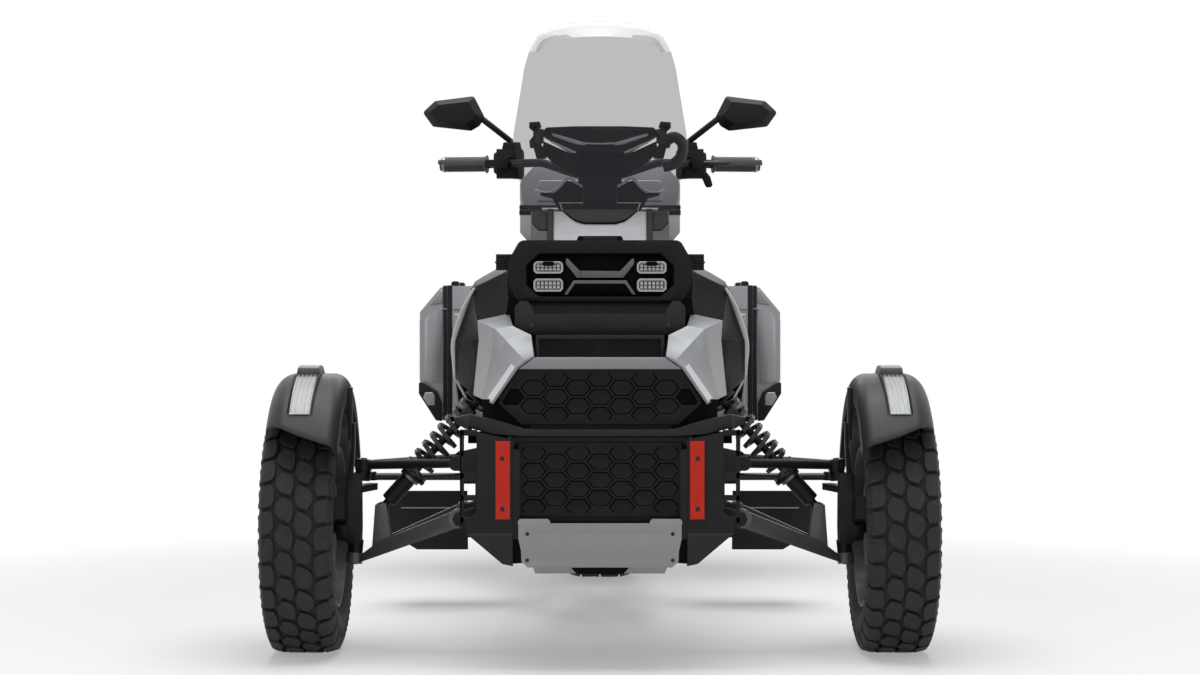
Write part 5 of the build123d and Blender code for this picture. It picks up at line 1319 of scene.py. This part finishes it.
# floor, light and camera
print("stage 11: floor, lights and camera")
studio = {
    "floorSize": 60.0,
    "cameraPlace": (0.0, -6.94, 0.806),
    "pitchDown": 0.545,          # degrees
    "lens": 75.6,
    "keyPower": 195.0,
    "fillPower": 7.0,
    "rimPower": 26.0,
    "skyLevel": 0.18,
    "glowNear": 0.34,            # share of plain white in the floor under the trike
    "glowFrom": 1.25,            # metres from the trike where the floor starts to turn plain white
    "glowFull": 2.5,
}
white = (1, 1, 1, 1)


def whiteRays(tree):
    # 1 for rays that show the background: straight to the eye, mirrored or seen through glass
    path = addNode(tree, "ShaderNodeLightPath").outputs
    seen = maths(tree, "MAXIMUM", path["Is Camera Ray"], path["Is Glossy Ray"])
    return maths(tree, "MAXIMUM", seen, path["Is Transmission Ray"])


def floorMaterial(s):
    # seamless white paper: pure white to the eye, with the soft grey of the shadow kept
    material, tree = newMaterial("seamlessPaper")
    seen = whiteRays(tree)
    place = addNode(tree, "ShaderNodeTexCoord").outputs["Object"]
    away = addNode(tree, "ShaderNodeVectorMath", {0: place}, operation="LENGTH").outputs["Value"]
    level = remap(tree, away, s["glowNear"], 1.0, s["glowFrom"], s["glowFull"])
    share = maths(tree, "MULTIPLY", seen, level)
    paper = addNode(tree, "ShaderNodeBsdfDiffuse", {"Color": srgb("#E6E6E6")})
    glow = addNode(tree, "ShaderNodeEmission", {"Color": white, "Strength": 1.0})
    mix = addNode(tree, "ShaderNodeMixShader", {0: share, 1: paper.outputs[0], 2: glow.outputs[0]})
    addNode(tree, "ShaderNodeOutputMaterial", {"Surface": mix.outputs[0]})
    return material


def makeStudio(s):
    half = s["floorSize"] / 2
    mesh = bpy.data.meshes.new("floor")
    mesh.from_pydata([(-half, -half, 0), (half, -half, 0), (half, half, 0), (-half, half, 0)], [], [(0, 1, 2, 3)])
    floor = holding(mesh, "floor")
    mesh.materials.append(floorMaterial(s))

    world = bpy.data.worlds.new("studio")
    bpy.context.scene.world = world
    world.use_nodes = True
    tree = world.node_tree
    tree.nodes.clear()
    level = remap(tree, whiteRays(tree), s["skyLevel"], 1.0)
    backdrop = addNode(tree, "ShaderNodeBackground", {"Color": white, "Strength": level})
    addNode(tree, "ShaderNodeOutputWorld", {"Surface": backdrop.outputs[0]})

    # name, place, aimed at, width, height, power
    lamps = [
        ("topBox", (0, -0.6, 4.2), (0, -0.2, 0.4), 3.6, 4.4, s["keyPower"]),
        ("frontBox", (0, -6.0, 3.4), (0, -1.0, 0.6), 4.0, 1.6, s["fillPower"]),
        ("leftStrip", (4.2, -1.6, 2.0), (0, -0.6, 0.6), 1.0, 3.6, s["rimPower"]),
        ("rightStrip", (-4.2, -1.6, 2.0), (0, -0.6, 0.6), 1.0, 3.6, s["rimPower"]),
        ("backStrip", (0, 5.0, 3.0), (0, 0, 0.8), 4.0, 1.4, s["rimPower"]),
    ]
    for name, place, aim, width, height, power in lamps:
        light = bpy.data.lights.new(name, "AREA")
        light.shape, light.size, light.size_y, light.energy = "RECTANGLE", width, height, power
        lamp = holding(light, name)
        lamp.location = place
        lamp.rotation_euler = (Vector(aim) - Vector(place)).to_track_quat("-Z", "Y").to_euler()
        lamp.visible_camera = False

    view = bpy.data.cameras.new("camera")
    view.lens, view.sensor_width = s["lens"], 36.0
    view.clip_end = 200.0
    camera = holding(view, "camera")
    camera.location = s["cameraPlace"]
    camera.rotation_euler = (math.radians(90 - s["pitchDown"]), 0, 0)
    bpy.context.scene.camera = camera
    bpy.context.scene.view_settings.view_transform = "Standard"


makeStudio(studio)
